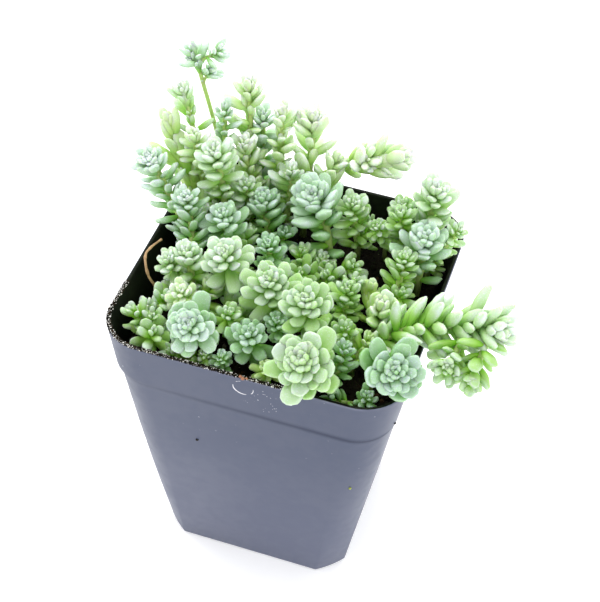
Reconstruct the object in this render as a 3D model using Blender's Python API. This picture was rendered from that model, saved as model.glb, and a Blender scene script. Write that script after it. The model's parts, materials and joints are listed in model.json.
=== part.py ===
# A potted sedum: leafy stems and a dry twig in soil, in a square nursery pot.
# Sizes are millimetres in this script and metres in the finished objects.
# +Z is up, the pot's front faces -Y, and the origin is under the middle of the pot's base.

import math
import random
from collections import namedtuple

import bmesh
import bpy
from mathutils import Vector
from mathutils.bvhtree import BVHTree

MM = 0.001

# The pot, from its rim down. Each half width is from the middle to a flat side.
POT_HEIGHT = 70.0
RIM_HALF = 32.0
RIM_CORNER = 9.6
BAND_HEIGHT = 11.2
BAND_FOOT_HALF = 30.4
SHOULDER_HEIGHT = 1.9
BODY_HALF = 29.7
BODY_CORNER = 8.4
BASE_HALF = 21.5
BASE_CORNER = 5.4
BASE_CHAMFER = 0.8
WALL = 0.9
FLOOR = 1.2
DRAIN_OFFSET = 9.5
DRAIN_RADIUS = 3.0
DRAIN_SIDES = 8
CORNER_STEPS = 4

# The soil, and the clearance that every piece keeps to its neighbour.
SOIL_TOP = 61.5
SOIL_LUMP = 0.7
SOIL_RINGS = (0.82, 0.58, 0.3)
SOIL_SEED = 11
GAP = 0.3

# The stems stand in plain four-sided holes. A stem leaves the soil upright.
HOLE_FLOOR = 55.0
HOLE_CUT_TOP = SOIL_TOP + 5.0
STEM_FOOT = HOLE_FLOOR + GAP
STEM_STRAIGHT = SOIL_TOP + 1.5
STEM_SIDES = 4
STEM_RINGS = 2
RING_SPACING = 16.0
AXIS_STEPS = 12
BEND = 0.4

# The leaves: how they turn, open and shrink towards the tip of a stem. Tilts are from the stem.
# The turns are counted from the side of the stem that lies across this direction.
LEAF_START = Vector((0.31, 0.95, 0.05))
GOLDEN_TURN = math.radians(137.5)
BUD_TILT = 22.0
OPEN_TILT = 76.0
LOWER_TILT = 84.0
BUD_SHARE = 0.42
LARGE_LEAF = 5.8
LARGE_LEAF_RINGS = ((0.36, 0.64), (0.78, 1.0))
SMALL_LEAF_RINGS = ((0.62, 1.22),)
LEAF_WIDTH = 0.54
LEAF_THICKNESS = 0.33
LEAF_KEEL = 0.7
LEAF_CURL = 0.14
HEAD_LEAF_SHARE = 0.54
HEAD_DEPTH = 0.85
HEAD_CURVE = 1.6
LOWEST_LEAF = 2.0
LOWER_SHRINK = 0.2
THINNEST = 0.8
LEAST_WIDTH = 1.2
FIRST_SHARE = 0.34
TIP_INSET = 0.3

# The bud in the middle of a head, as shares of the head's longest leaf.
BUD_RADIUS = 0.31
BUD_HEIGHT = 0.5
BUD_RISE = 0.1
BUD_TOP_SHARE = 0.8

# A leaf that would touch another node is tried again, lifted by degrees and shortened to a share.
# Solids whose middles are further apart than their reach and this distance can't touch.
SEATINGS = ((0, 1.0), (18, 0.96), (-14, 0.94), (32, 0.88), (12, 0.76), (36, 0.66))
FURTHEST = 9.0

# Each leafy stem: the place of its root in the soil, the place and the facing of its tip,
# the length of its largest leaves, its radius, the number of leaves in its head, its colour,
# the share of the stem below the head that bears leaves, and how far apart they are there.
Stem = namedtuple("Stem", "root tip face leaf radius head tint leafy spacing", defaults=(1.0, 3.0))

STEMS = {
    "left_high": Stem((-23.5, 3), (-35, 8.5, 84), (-0.5, -0.3, 1), 5.8, 0.8, 17, "blue"),
    "left_mid": Stem((-21.5, -1.5), (-25.5, 4, 80.5), (-0.1, -0.3, 1), 4.3, 0.7, 13, "blue"),
    "left_back_tall": Stem((-20, 14.5), (-22, 12.5, 87), (-0.1, -0.3, 1), 7, 0.8, 16, "green"),
    "left_inner": Stem((-15, 7), (-15.5, 3.5, 79.5), (0, -0.3, 1), 5.8, 0.8, 16, "blue"),
    "middle_blue": Stem((-9, 12.5), (-11, 14, 78), (0, -0.3, 1), 6.2, 0.8, 16, "blue"),
    "middle_tall": Stem((4.5, 14), (0.5, 13.5, 83.5), (-0.15, -0.45, 1), 8.2, 0.9, 20, "blue", spacing=2),
    "front_left_upper": Stem((-12, -3), (-12.5, -9, 80), (-0.1, -0.35, 1), 6.7, 0.85, 20, "blue"),
    "front_middle_upper": Stem((0, -8), (0, -13, 81), (0, -0.35, 1), 7, 0.85, 20, "green"),
    "middle_small": Stem((-5, 3), (-5.7, 1, 76), (0, -0.2, 1), 4, 0.7, 12, "blue"),
    "front_right_upper": Stem((8, -12), (8.3, -18.3, 82), (0, -0.4, 1), 7.2, 0.85, 20, "green"),
    "front_large": Stem((12, -22), (12.7, -32, 80), (-0.1, -0.6, 1), 9.8, 0.9, 22, "green"),
    "front_left_large": Stem((-14, -20), (-13.2, -27.2, 77), (-0.2, -0.4, 1), 8, 0.85, 20, "blue"),
    "left_pale": Stem((-19, -13), (-18, -18, 75), (0, -0.3, 1), 3.8, 0.7, 10, "pale"),
    "left_wide": Stem((-19.5, -7.5), (-20.7, -7.5, 76), (-0.1, -0.2, 1), 5.6, 0.8, 16, "blue"),
    "left_edge": Stem((-23.2, -4.8), (-24.6, -8.5, 73.5), (-0.2, -0.2, 1), 4.6, 0.7, 12, "blue"),
    "left_low_back": Stem((-25.4, -16), (-26, -17.8, 67.5), (0, -0.1, 1), 3.8, 0.7, 10, "green"),
    "left_low_front": Stem((-23, -21.5), (-23.3, -21.5, 66), (0, -0.1, 1), 3.8, 0.7, 10, "green"),
    "front_open": Stem((-2, -20), (-1, -24.5, 75), (0, -0.3, 1), 5.2, 0.7, 15, "green"),
    "front_tiny_blue": Stem((-6, -25.5), (-5.3, -28.6, 71), (0, -0.2, 1), 2.6, 0.6, 10, "blue"),
    "front_tiny_green": Stem((-9.5, -25), (-8.9, -28.4, 70), (0, -0.2, 1), 2.3, 0.6, 8, "green"),
    "front_small_blue": Stem((3, -16), (3, -19, 75), (0, -0.3, 1), 3.6, 0.7, 11, "blue"),
    "front_low_pale": Stem((3.5, -24.5), (3.8, -28.2, 70.5), (0, -0.2, 1), 3.2, 0.6, 7, "pale"),
    "corner_large": Stem((23.5, -21), (29.2, -26, 79), (0, -0.45, 1), 7.8, 0.9, 20, "blue"),
    "corner_low": Stem((22.8, -25), (25, -27, 69), (0, -0.1, 1), 3.2, 0.6, 10, "blue"),
    "middle_right_low": Stem((13, -4), (13.5, -4, 74), (0, -0.2, 1), 4.6, 0.7, 12, "green"),
    "right_middle": Stem((21.5, 5), (22.5, 7, 76), (0, -0.2, 1), 4.3, 0.7, 11, "green"),
    "right_thin": Stem((15.5, 20.5), (14.3, 14.5, 76), (0, -0.4, 1), 3.2, 0.6, 9, "green", leafy=0.4),
    "right_large": Stem((25, 12.5), (25.5, 12, 80.5), (0, -0.35, 1), 7.4, 0.85, 19, "blue", spacing=2.2),
    "right_back": Stem((23.5, 21), (25, 21, 84), (0.1, -0.2, 1), 7, 0.8, 15, "green"),
    "right_edge": Stem((26, 17), (31.3, 17.5, 78), (0.3, -0.2, 1), 3.5, 0.7, 9, "green"),
    "right_back_inner": Stem((18, 24), (18, 21, 78), (0, -0.2, 1), 3.8, 0.7, 10, "green"),
    "back_pale": Stem((-4, 21.8), (-5.7, 30, 88), (0, -0.1, 1), 5.3, 0.8, 14, "pale"),
    "back_small": Stem((-11, 23.5), (-12, 27, 90), (0, -0.1, 1), 4, 0.7, 10, "green", leafy=0.7),
    "back_blue": Stem((-15.5, 25.5), (-17, 29.5, 86), (0, -0.1, 1), 3.6, 0.7, 10, "blue"),
    "back_column": Stem((-19, 24), (-20, 28.5, 94), (-0.1, 0, 1), 4.3, 0.7, 11, "green"),
    "back_left_small": Stem((-21.5, 18.2), (-24, 24, 90), (0, -0.1, 1), 3.4, 0.7, 10, "blue", leafy=0.6),
    "back_top": Stem((-23.5, 24.5), (-31, 31, 99), (-0.3, 0.1, 1), 5.2, 0.6, 13, "blue", leafy=0.35),
    "back_left_bud": Stem((-25.5, 20.5), (-33.5, 23.5, 93), (-0.2, 0, 1), 3.1, 0.6, 10, "blue", leafy=0.4),
    "left_upright": Stem((-25.5, 13), (-34.5, 19, 86), (-0.3, 0, 1), 6.5, 0.8, 11, "pale"),
    "middle_back": Stem((-7.5, 19.5), (-7.3, 20.7, 80), (0, -0.2, 1), 4.2, 0.7, 11, "green"),
    "right_upright": Stem((20, -4), (21.3, -7, 74.5), (0, -0.2, 1), 5, 0.7, 9, "pale"),
    "right_low_front": Stem((18.5, -15.5), (21, -13.5, 71), (0.1, -0.2, 1), 4.1, 0.7, 8, "pale"),
    "right_low_middle": Stem((15, -9.5), (16, -13.5, 72), (0, -0.2, 1), 3.6, 0.7, 8, "green"),
    "middle_right_back": Stem((9.5, 19), (8, 17, 78.5), (0.1, -0.2, 1), 4.9, 0.8, 12, "green"),
    "left_back_low": Stem((-15, 17.5), (-15.5, 15, 78), (0, -0.2, 1), 4.7, 0.7, 10, "green"),
    "back_fill": Stem((-14, 21.5), (-18.5, 21.5, 84), (0, -0.1, 1), 4.8, 0.7, 11, "green"),
    "left_column": Stem((-23.5, 8.5), (-24.5, 7.5, 73.5), (-0.2, -0.3, 1), 4.6, 0.7, 12, "green"),
    "left_middle_low": Stem((-13, 1), (-13, 8, 71.5), (0, 0.1, 1), 4.6, 0.7, 11, "green"),
    "middle_low": Stem((2, 6), (4.6, 7.5, 69), (0.2, -0.2, 1), 4.8, 0.7, 10, "green"),
    "back_middle_pale": Stem((0.5, 21.5), (0.8, 27, 81), (0.3, 0.1, 1), 5, 0.7, 11, "pale"),
    "right_back_low": Stem((19.5, 18), (18.7, 16.5, 79.5), (-0.1, -0.2, 1), 4.2, 0.7, 10, "green"),
    "back_left_fill": Stem((-25, 16.8), (-28.5, 17.5, 86), (-0.1, 0, 1), 4.8, 0.7, 10, "green"),
    "front_right_low": Stem((16.5, -21), (18, -20, 73.5), (0.2, -0.1, 1), 3.8, 0.7, 9, "blue"),
    "front_left_fill": Stem((-8.5, -15), (-7, -19.5, 74), (0.2, -0.2, 1), 4.2, 0.7, 10, "green"),
    "right_trailing": Stem((21, -12), (47.3, -11.5, 79.5), (1, -0.1, 0.35), 7, 0.9, 16, "green", spacing=1.4),
    "back_right_long": Stem((-9, 27), (14, 32, 84), (1, 0.1, 0.6), 4, 0.7, 10, "pale", leafy=0.35),
}

# A side branch grows out of a stem, at a share of the stem's length measured from its root.
# It sets off towards its tip, leaning along its stem by a share.
Branch = namedtuple("Branch", "stem start tip face leaf radius head leafy spacing")

BRANCH_LEAN = 0.6
BRANCHES = (
    Branch("right_trailing", 0.70, (38.5, -19.0, 74.5), (0.3, -1.0, 0.3), 4.3, 0.7, 12, 0.7, 2.0),
    Branch("right_trailing", 0.88, (44.3, -19.5, 73.5), (0.5, -1.0, -0.1), 4.2, 0.7, 12, 0.7, 2.0),
    Branch("back_right_long", 0.72, (7.3, 28.5, 84.0), (0.1, -0.5, 1.0), 4.0, 0.6, 10, 0.7, 2.0),
)

# The dry twig rises from the soil by the left wall, bends over and ends above the rim.
TWIG_RADIUS = 0.36
TWIG = (
    (-25.8, -9.0, STEM_FOOT),
    (-25.8, -9.0, STEM_STRAIGHT),
    (-26.2, -9.6, 64.6),
    (-26.9, -10.4, 66.9),
    (-27.9, -11.0, 69.5),
    (-28.8, -10.4, 71.8),
    (-29.4, -9.2, 73.1),
    (-29.5, -7.8, 73.6),
    (-29.0, -5.0, 73.3),
    (-28.5, -2.4, 72.6),
)

# Colours are linear.
PLASTIC = (0.17, 0.175, 0.24, 1.0)
SOIL_BROWN = (0.018, 0.014, 0.011, 1.0)
TWIG_TAN = (0.62, 0.44, 0.24, 1.0)
LEAF_COLOURS = {
    "blue": (0.42, 0.62, 0.48, 1.0),
    "green": (0.40, 0.62, 0.30, 1.0),
    "pale": (0.52, 0.70, 0.30, 1.0),
}
PLASTIC_ROUGHNESS = 0.45
SOIL_ROUGHNESS = 0.95
TWIG_ROUGHNESS = 0.8
LEAF_ROUGHNESS = 0.55


def material(name, colour, roughness):
    made = bpy.data.materials.new(name)
    made.use_nodes = True
    shader = made.node_tree.nodes["Principled BSDF"]
    shader.inputs["Base Color"].default_value = colour
    shader.inputs["Roughness"].default_value = roughness
    return made


def add_object(name, points, faces, finish=None):
    mesh = bpy.data.meshes.new(name)
    mesh.from_pydata([tuple(point) for point in points], [], faces)
    mesh.update()
    if finish:
        mesh.materials.append(finish)
    made = bpy.data.objects.new(name, mesh)
    bpy.context.scene.collection.objects.link(made)
    return made


def tube_faces(rings, sides):
    """Side faces between successive rings, whose points run anticlockwise seen from the last ring."""
    faces = []
    for ring in range(rings - 1):
        low = ring * sides
        high = low + sides
        for side in range(sides):
            after = (side + 1) % sides
            faces.append((low + side, low + after, high + after, high + side))
    return faces


def capped_loft(rings):
    """Points and faces of a solid through rings of equal size, closed flat at both ends."""
    sides = len(rings[0])
    points = [point for ring in rings for point in ring]
    faces = tube_faces(len(rings), sides)
    faces.append(tuple(reversed(range(sides))))
    top = (len(rings) - 1) * sides
    faces.append(tuple(range(top, top + sides)))
    return points, faces


def rounded_square(half, radius, chamfer, height):
    """A square outline with rounded corners, each pulled towards a flat chamfer by a share."""
    outline = []
    for turn in range(4):
        start = math.radians(90 * turn - 90)
        across = (1, 1, -1, -1)[turn] * (half - radius)
        along = (-1, 1, 1, -1)[turn] * (half - radius)
        first = Vector((across + radius * math.cos(start), along + radius * math.sin(start), height))
        end = start + math.pi / 2
        last = Vector((across + radius * math.cos(end), along + radius * math.sin(end), height))
        for step in range(CORNER_STEPS + 1):
            share = step / CORNER_STEPS
            angle = start + share * math.pi / 2
            arc = Vector((across + radius * math.cos(angle), along + radius * math.sin(angle), height))
            outline.append(arc.lerp(first.lerp(last, share), chamfer))
    return outline


def body_half(height):
    """Outer half width of the pot's body at a height below the shoulder."""
    body_top = POT_HEIGHT - BAND_HEIGHT - SHOULDER_HEIGHT
    return BASE_HALF + (BODY_HALF - BASE_HALF) * height / body_top


def body_ring(height, inset):
    share = height / (POT_HEIGHT - BAND_HEIGHT - SHOULDER_HEIGHT)
    radius = BASE_CORNER + (BODY_CORNER - BASE_CORNER) * share - inset
    return rounded_square(body_half(height) - inset, radius, BASE_CHAMFER * (1 - share), height)


def cut(target, cutter):
    """Cuts one object from another and removes the cutter."""
    boolean = target.modifiers.new("cut", "BOOLEAN")
    boolean.operation = "DIFFERENCE"
    boolean.object = cutter
    apply_modifiers(target)
    bpy.data.objects.remove(cutter)


def apply_modifiers(target):
    ready = target.evaluated_get(bpy.context.evaluated_depsgraph_get())
    mesh = bpy.data.meshes.new_from_object(ready)
    target.modifiers.clear()
    target.data = mesh


def to_metres(target):
    """Turns a mesh into triangles in metres, and says whether they close into one body.

    The largest shell is kept, so a hollow that fusing sealed is filled and a scrap is dropped.
    """
    for method in ("BEAUTY", "EAR_CLIP"):
        shape = bmesh.new()
        shape.from_mesh(target.data)
        bmesh.ops.triangulate(shape, faces=shape.faces, ngon_method=method)
        keep_largest_shell(shape)
        closed = all(len(edge.link_faces) == 2 for edge in shape.edges)
        if closed:
            bmesh.ops.scale(shape, vec=(MM, MM, MM), verts=shape.verts)
            shape.to_mesh(target.data)
        shape.free()
        if closed:
            return True
    return False


def keep_largest_shell(shape):
    unseen = set(shape.faces)
    shells = []
    while unseen:
        shell = {unseen.pop()}
        border = list(shell)
        while border:
            face = border.pop()
            near = {other for edge in face.edges for other in edge.link_faces} & unseen
            unseen -= near
            shell |= near
            border.extend(near)
        shells.append(shell)
    largest = max(shells, key=lambda shell: sum(face.calc_area() for face in shell))
    spare = [face for shell in shells if shell is not largest for face in shell]
    bmesh.ops.delete(shape, geom=spare, context="FACES")


def prism(centre, radius, sides, low, high):
    rings = []
    for height in (low, high):
        ring = []
        for side in range(sides):
            angle = 2 * math.pi * side / sides
            across = centre[0] + radius * math.cos(angle)
            along = centre[1] + radius * math.sin(angle)
            ring.append(Vector((across, along, height)))
        rings.append(ring)
    return capped_loft(rings)


def joined(solids):
    """Points and faces of several separate solids in one list."""
    points = []
    faces = []
    for solid_points, solid_faces in solids:
        offset = len(points)
        points.extend(solid_points)
        faces.extend(tuple(index + offset for index in face) for face in solid_faces)
    return points, faces


def make_pot(finish):
    body_top = POT_HEIGHT - BAND_HEIGHT - SHOULDER_HEIGHT
    band_foot = POT_HEIGHT - BAND_HEIGHT
    rings = [
        body_ring(0.0, 0.0),
        body_ring(body_top, 0.0),
        rounded_square(BAND_FOOT_HALF, BODY_CORNER, 0.0, band_foot),
        rounded_square(RIM_HALF, RIM_CORNER, 0.0, POT_HEIGHT),
        rounded_square(RIM_HALF - WALL, RIM_CORNER - WALL, 0.0, POT_HEIGHT),
        rounded_square(BAND_FOOT_HALF - WALL, BODY_CORNER - WALL, 0.0, band_foot + WALL / 2),
        body_ring(body_top, WALL),
        body_ring(FLOOR, WALL),
    ]
    pot = add_object("pot", *capped_loft(rings), finish)
    drains = []
    for across in (-DRAIN_OFFSET, DRAIN_OFFSET):
        for along in (-DRAIN_OFFSET, DRAIN_OFFSET):
            drains.append(prism((across, along), DRAIN_RADIUS, DRAIN_SIDES, -FLOOR, 2 * FLOOR))
    cut(pot, add_object("drain_cutter", *joined(drains)))
    return pot


def make_soil(finish):
    draw = random.Random(SOIL_SEED)
    rings = [
        body_ring(FLOOR + GAP, WALL + GAP),
        body_ring(POT_HEIGHT - BAND_HEIGHT - SHOULDER_HEIGHT - GAP, WALL + GAP),
    ]
    edge = rings[-1]
    for share in SOIL_RINGS:
        ring = []
        for point in edge:
            lump = draw.uniform(-SOIL_LUMP, SOIL_LUMP)
            ring.append(Vector((point.x * share, point.y * share, SOIL_TOP + lump)))
        rings.append(ring)
    soil = add_object("soil", *capped_loft(rings), finish)
    feet = [(stem.root, stem.radius) for stem in STEMS.values()]
    feet.append((TWIG[0], TWIG_RADIUS))
    holes = []
    for root, radius in feet:
        holes.append(prism(root, hole_radius(radius), STEM_SIDES, HOLE_FLOOR, HOLE_CUT_TOP))
    cut(soil, add_object("hole_cutter", *joined(holes)))
    return soil


def hole_radius(radius):
    """Leaves the gap between the flats of a four-sided stem and those of its hole."""
    return radius + GAP / math.cos(math.pi / STEM_SIDES)


def curve_through(start, end, rise, face, steps):
    """Evenly spaced points of a cubic curve that leaves start along rise and meets end along face."""
    reach = BEND * (end - start).length
    first = start + rise.normalized() * reach
    second = end - face.normalized() * reach
    points = []
    for step in range(steps + 1):
        share = step / steps
        left = 1 - share
        near = start * left**3 + first * (3 * left**2 * share)
        far = second * (3 * left * share**2) + end * share**3
        points.append(near + far)
    return points


class Axis:
    """The middle line of a stem, measured from its tip downwards."""

    def __init__(self, points):
        self.points = list(reversed(points))
        self.lengths = [0.0]
        for before, after in zip(self.points, self.points[1:]):
            self.lengths.append(self.lengths[-1] + (after - before).length)

    def at(self, depth):
        """The point at a depth below the tip, and the direction towards the tip there."""
        depth = min(max(depth, 0.0), self.lengths[-1] - 0.001)
        for index in range(len(self.points) - 1):
            if self.lengths[index + 1] >= depth:
                break
        stretch = self.lengths[index + 1] - self.lengths[index]
        share = (depth - self.lengths[index]) / stretch
        point = self.points[index].lerp(self.points[index + 1], share)
        return point, (self.points[index] - self.points[index + 1]).normalized()


def across_axis(direction, angle):
    """A direction at right angles to another, turned round it by an angle."""
    side = direction.cross(LEAF_START).normalized()
    return side * math.cos(angle) + side.cross(direction) * math.sin(angle)


def tube(points, radii, sides):
    """A tube with a flat foot and a pointed tip; the last point is the tip."""
    rings = []
    for index, (point, radius) in enumerate(zip(points[:-1], radii)):
        ahead = points[index + 1] - point
        behind = point - points[index - 1] if index else ahead
        direction = (ahead.normalized() + behind.normalized()).normalized()
        side = Vector((1.0, 0.0, 0.0))
        side = (side - direction * side.dot(direction)).normalized()
        other = direction.cross(side)
        ring = []
        for step in range(sides):
            angle = 2 * math.pi * step / sides
            ring.append(point + side * (radius * math.cos(angle)) + other * (radius * math.sin(angle)))
        rings.append(ring)
    all_points = [point for ring in rings for point in ring] + [points[-1]]
    faces = tube_faces(len(rings), sides)
    faces.append(tuple(reversed(range(sides))))
    last = (len(rings) - 1) * sides
    tip = len(all_points) - 1
    faces.extend((last + step, last + (step + 1) % sides, tip) for step in range(sides))
    return all_points, faces


def leaf(root, direction, upper, length, width, thickness, extra):
    """A plump paddle: a point sunk in the stem, two rings flat above and keeled below, and a tip."""
    side = direction.cross(upper)
    curl = LEAF_CURL * length
    points = [root]
    rings = LARGE_LEAF_RINGS if length > LARGE_LEAF else SMALL_LEAF_RINGS
    for share, breadth in rings:
        middle = root + direction * (length * share) + upper * (curl * share**2)
        half = width * breadth / 2 + extra
        top = upper * (thickness * (1 - LEAF_KEEL) + extra)
        points.append(middle + top - side * half)
        points.append(middle - upper * (thickness * LEAF_KEEL + extra))
        points.append(middle + top + side * half)
    points.append(root + direction * (length + extra) + upper * curl)
    tip = len(points) - 1
    last = tip - 3
    faces = []
    for step in range(3):
        after = (step + 1) % 3
        faces.append((0, 1 + after, 1 + step))
        if last > 1:
            faces.append((1 + step, 1 + after, last + after, last + step))
        faces.append((last + step, last + after, tip))
    return points, faces


def shell_tree(solid):
    points, faces = solid
    return BVHTree.FromPolygons([tuple(point) for point in points], faces)


def leaf_plan(axis, stem):
    """Root, facing and size of each leaf of a stem, from the bud at its tip downwards."""
    head = max(4, round(stem.head * HEAD_LEAF_SHARE))
    head_depth = HEAD_DEPTH * stem.leaf
    run = max(0.0, (axis.lengths[-1] - LOWEST_LEAF - head_depth) * stem.leafy)
    lower = round(run / stem.spacing)
    plan = []
    for rank in range(head + lower):
        if rank < head:
            share = FIRST_SHARE + (1 - FIRST_SHARE) * math.sqrt((rank + 0.5) / head)
            depth = TIP_INSET + head_depth * share**HEAD_CURVE
            tilt = BUD_TILT + (OPEN_TILT - BUD_TILT) * share
            length = stem.leaf * (BUD_SHARE + (1 - BUD_SHARE) * share)
        else:
            share = (rank - head + 1) / lower
            depth = TIP_INSET + head_depth + run * share
            tilt = OPEN_TILT + (LOWER_TILT - OPEN_TILT) * share
            length = stem.leaf * (1.0 - LOWER_SHRINK * share)
        root, towards_tip = axis.at(depth)
        outward = across_axis(towards_tip, rank * GOLDEN_TURN)
        lean = math.radians(tilt)
        direction = towards_tip * math.cos(lean) + outward * math.sin(lean)
        upper = towards_tip * math.sin(lean) - outward * math.cos(lean)
        plan.append((root, direction, upper, length))
    return plan


def clears(solid, owner, barriers):
    """Whether a leaf keeps clear of the soil and of everything that another node owns."""
    middle = sum(solid[0], Vector()) / len(solid[0])
    inside_pot = max(abs(middle.x), abs(middle.y)) < RIM_HALF
    if inside_pot and min(point.z for point in solid[0]) < SOIL_TOP + SOIL_LUMP + GAP:
        return False
    tree = None
    for other, centre, reach, barrier in barriers:
        if other == owner or (centre - middle).length > reach + FURTHEST:
            continue
        tree = tree or shell_tree(solid)
        if tree.overlap(barrier):
            return False
    return True


def seated_leaf(place, owner, barriers):
    """The leaf at full size, or bent up or shortened until it clears, or None."""
    root, direction, upper, length = place
    for lift, share in SEATINGS:
        angle = math.radians(lift)
        bent = direction * math.cos(angle) + upper * math.sin(angle)
        bent_upper = upper * math.cos(angle) - direction * math.sin(angle)
        size = length * share
        width = max(LEAF_WIDTH * size, LEAST_WIDTH)
        thickness = max(LEAF_THICKNESS * size, THINNEST)
        if clears(leaf(root, bent, bent_upper, size, width, thickness, GAP), owner, barriers):
            return leaf(root, bent, bent_upper, size, width, thickness, 0.0)
    return None


def as_barrier(owner, solid):
    centre = sum(solid[0], Vector()) / len(solid[0])
    reach = max((point - centre).length for point in solid[0])
    return owner, centre, reach, shell_tree(solid)


def fuse(name, solids, finish):
    """Joins the solids of one node into one closed body, in metres."""
    leaves = bpy.data.collections.new(name + "_leaves")
    for solid in solids[1:]:
        single = add_object(name + "_leaf", *solid)
        bpy.context.scene.collection.objects.unlink(single)
        leaves.objects.link(single)
    trunk = add_object(name, *solids[0], finish)
    bare = trunk.data
    for solver in ("EXACT", "MANIFOLD"):
        trunk.data = bare
        union = trunk.modifiers.new("fuse leaves", "BOOLEAN")
        union.operation = "UNION"
        union.operand_type = "COLLECTION"
        union.collection = leaves
        union.solver = solver
        apply_modifiers(trunk)
        if to_metres(trunk):
            break
    for single in list(leaves.objects):
        bpy.data.objects.remove(single)
    bpy.data.collections.remove(leaves)


def stem_tube(points, tip, facing, stem):
    """The solid of a stem that keeps its width up to the bud, where its tip leaves stand."""
    bud = BUD_RADIUS * stem.leaf
    crown = [tip - facing * (BUD_HEIGHT * stem.leaf), tip, tip + facing * (BUD_RISE * stem.leaf)]
    below = [point for point in points if (point - crown[0]).dot(facing) < -stem.radius]
    radii = [stem.radius] * len(below) + [bud, bud * BUD_TOP_SHARE]
    return tube(below + crown, radii, STEM_SIDES)


def main_stem(stem):
    """The solid of a stem, and its axis above the soil."""
    foot = Vector((*stem.root, STEM_FOOT))
    start = Vector((*stem.root, STEM_STRAIGHT))
    tip = Vector(stem.tip)
    facing = Vector(stem.face).normalized()
    upwards = Vector((0, 0, 1))
    steps = STEM_RINGS + round((tip - start).length / RING_SPACING)
    path = curve_through(start, tip, upwards, facing, steps)
    fine = curve_through(start, tip, upwards, facing, AXIS_STEPS)
    return stem_tube([foot] + path[:-1], tip, facing, stem), Axis(fine)


def branch_stem(branch, parent):
    """The solid of a side branch, and its axis."""
    start, along = parent.at(parent.lengths[-1] * (1 - branch.start))
    tip = Vector(branch.tip)
    facing = Vector(branch.face).normalized()
    rise = (tip - start).normalized() + along * BRANCH_LEAN
    path = curve_through(start, tip, rise, facing, STEM_RINGS)
    fine = curve_through(start, tip, rise, facing, AXIS_STEPS)
    return stem_tube(path[:-1], tip, facing, branch), Axis(fine)


def make_twig(finish):
    points = [Vector(point) for point in TWIG]
    radii = [TWIG_RADIUS] * (len(points) - 1)
    return add_object("dry_twig", *tube(points, radii, STEM_SIDES), finish)


def make_sedum(pot, twig):
    """Every leafy stem. The stems go in first, then the leaves, rank by rank, from the buds down."""
    finishes = {}
    for tint, colour in LEAF_COLOURS.items():
        finishes[tint] = material("leaf_" + tint, colour, LEAF_ROUGHNESS)
    nodes = {name: [] for name in STEMS}
    plans = {name: [] for name in STEMS}
    barriers = []
    for fixed in (pot, twig):
        points = [vertex.co.copy() for vertex in fixed.data.vertices]
        faces = [tuple(face.vertices) for face in fixed.data.polygons]
        barriers.append(as_barrier(fixed.name, (points, faces)))
    axes = {}
    for name, stem in STEMS.items():
        solid, axes[name] = main_stem(stem)
        nodes[name].append(solid)
        plans[name].append(leaf_plan(axes[name], stem))
    for branch in BRANCHES:
        solid, axis = branch_stem(branch, axes[branch.stem])
        nodes[branch.stem].append(solid)
        plans[branch.stem].append(leaf_plan(axis, branch))
    for name, solids in nodes.items():
        barriers.extend(as_barrier(name, solid) for solid in solids)
    ranks = max(len(plan) for several in plans.values() for plan in several)
    for rank in range(ranks):
        for name, several in plans.items():
            for plan in several:
                if rank < len(plan):
                    solid = seated_leaf(plan[rank], name, barriers)
                    if solid:
                        nodes[name].append(solid)
                        barriers.append(as_barrier(name, solid))
    for name, solids in nodes.items():
        fuse("stem_" + name, solids, finishes[STEMS[name].tint])


for old in list(bpy.data.objects):
    bpy.data.objects.remove(old)
the_pot = make_pot(material("pot_plastic", PLASTIC, PLASTIC_ROUGHNESS))
the_twig = make_twig(material("dry_twig", TWIG_TAN, TWIG_ROUGHNESS))
the_soil = make_soil(material("soil", SOIL_BROWN, SOIL_ROUGHNESS))
make_sedum(the_pot, the_twig)
for piece in (the_pot, the_twig, the_soil):
    to_metres(piece)
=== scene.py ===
# A potted sedum: leafy stems and a dry twig in soil, in a square nursery pot.
# Lengths are in metres, written as millimetres times MM, but the plant's own are in plain millimetres.
# +Z is up, and the pot's front faces -Y.

import json
import math
import random
from collections import namedtuple

import bmesh
import bpy
from mathutils import Matrix, Vector, noise
from mathutils.bvhtree import BVHTree

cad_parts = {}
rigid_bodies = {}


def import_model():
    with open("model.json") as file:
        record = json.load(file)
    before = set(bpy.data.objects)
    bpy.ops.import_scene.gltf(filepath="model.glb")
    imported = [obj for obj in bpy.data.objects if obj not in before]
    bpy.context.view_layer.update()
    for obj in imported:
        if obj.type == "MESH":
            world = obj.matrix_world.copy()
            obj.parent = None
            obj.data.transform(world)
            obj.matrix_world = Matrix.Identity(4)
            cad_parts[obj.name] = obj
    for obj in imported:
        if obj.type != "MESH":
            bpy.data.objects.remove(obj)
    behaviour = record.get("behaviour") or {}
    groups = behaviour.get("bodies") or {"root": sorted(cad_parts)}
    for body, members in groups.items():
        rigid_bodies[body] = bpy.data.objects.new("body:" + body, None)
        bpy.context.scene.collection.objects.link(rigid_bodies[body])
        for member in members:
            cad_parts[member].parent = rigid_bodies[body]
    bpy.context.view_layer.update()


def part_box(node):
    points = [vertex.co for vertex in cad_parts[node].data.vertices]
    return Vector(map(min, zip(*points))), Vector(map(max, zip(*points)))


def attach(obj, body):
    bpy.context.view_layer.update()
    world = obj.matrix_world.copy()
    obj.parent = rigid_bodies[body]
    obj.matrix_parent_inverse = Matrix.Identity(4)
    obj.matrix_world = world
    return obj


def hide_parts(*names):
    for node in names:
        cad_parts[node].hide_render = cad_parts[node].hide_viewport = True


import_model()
MM = 0.001


# The nursery pot: thin black polypropylene, injection moulded in one piece. Its outside is painted slate,
# partly greyed by dust and partly painted reflection of the bright surround.
# Its sides taper so that pots nest, a stepped band stiffens the mouth, and four holes drain the base.

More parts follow.
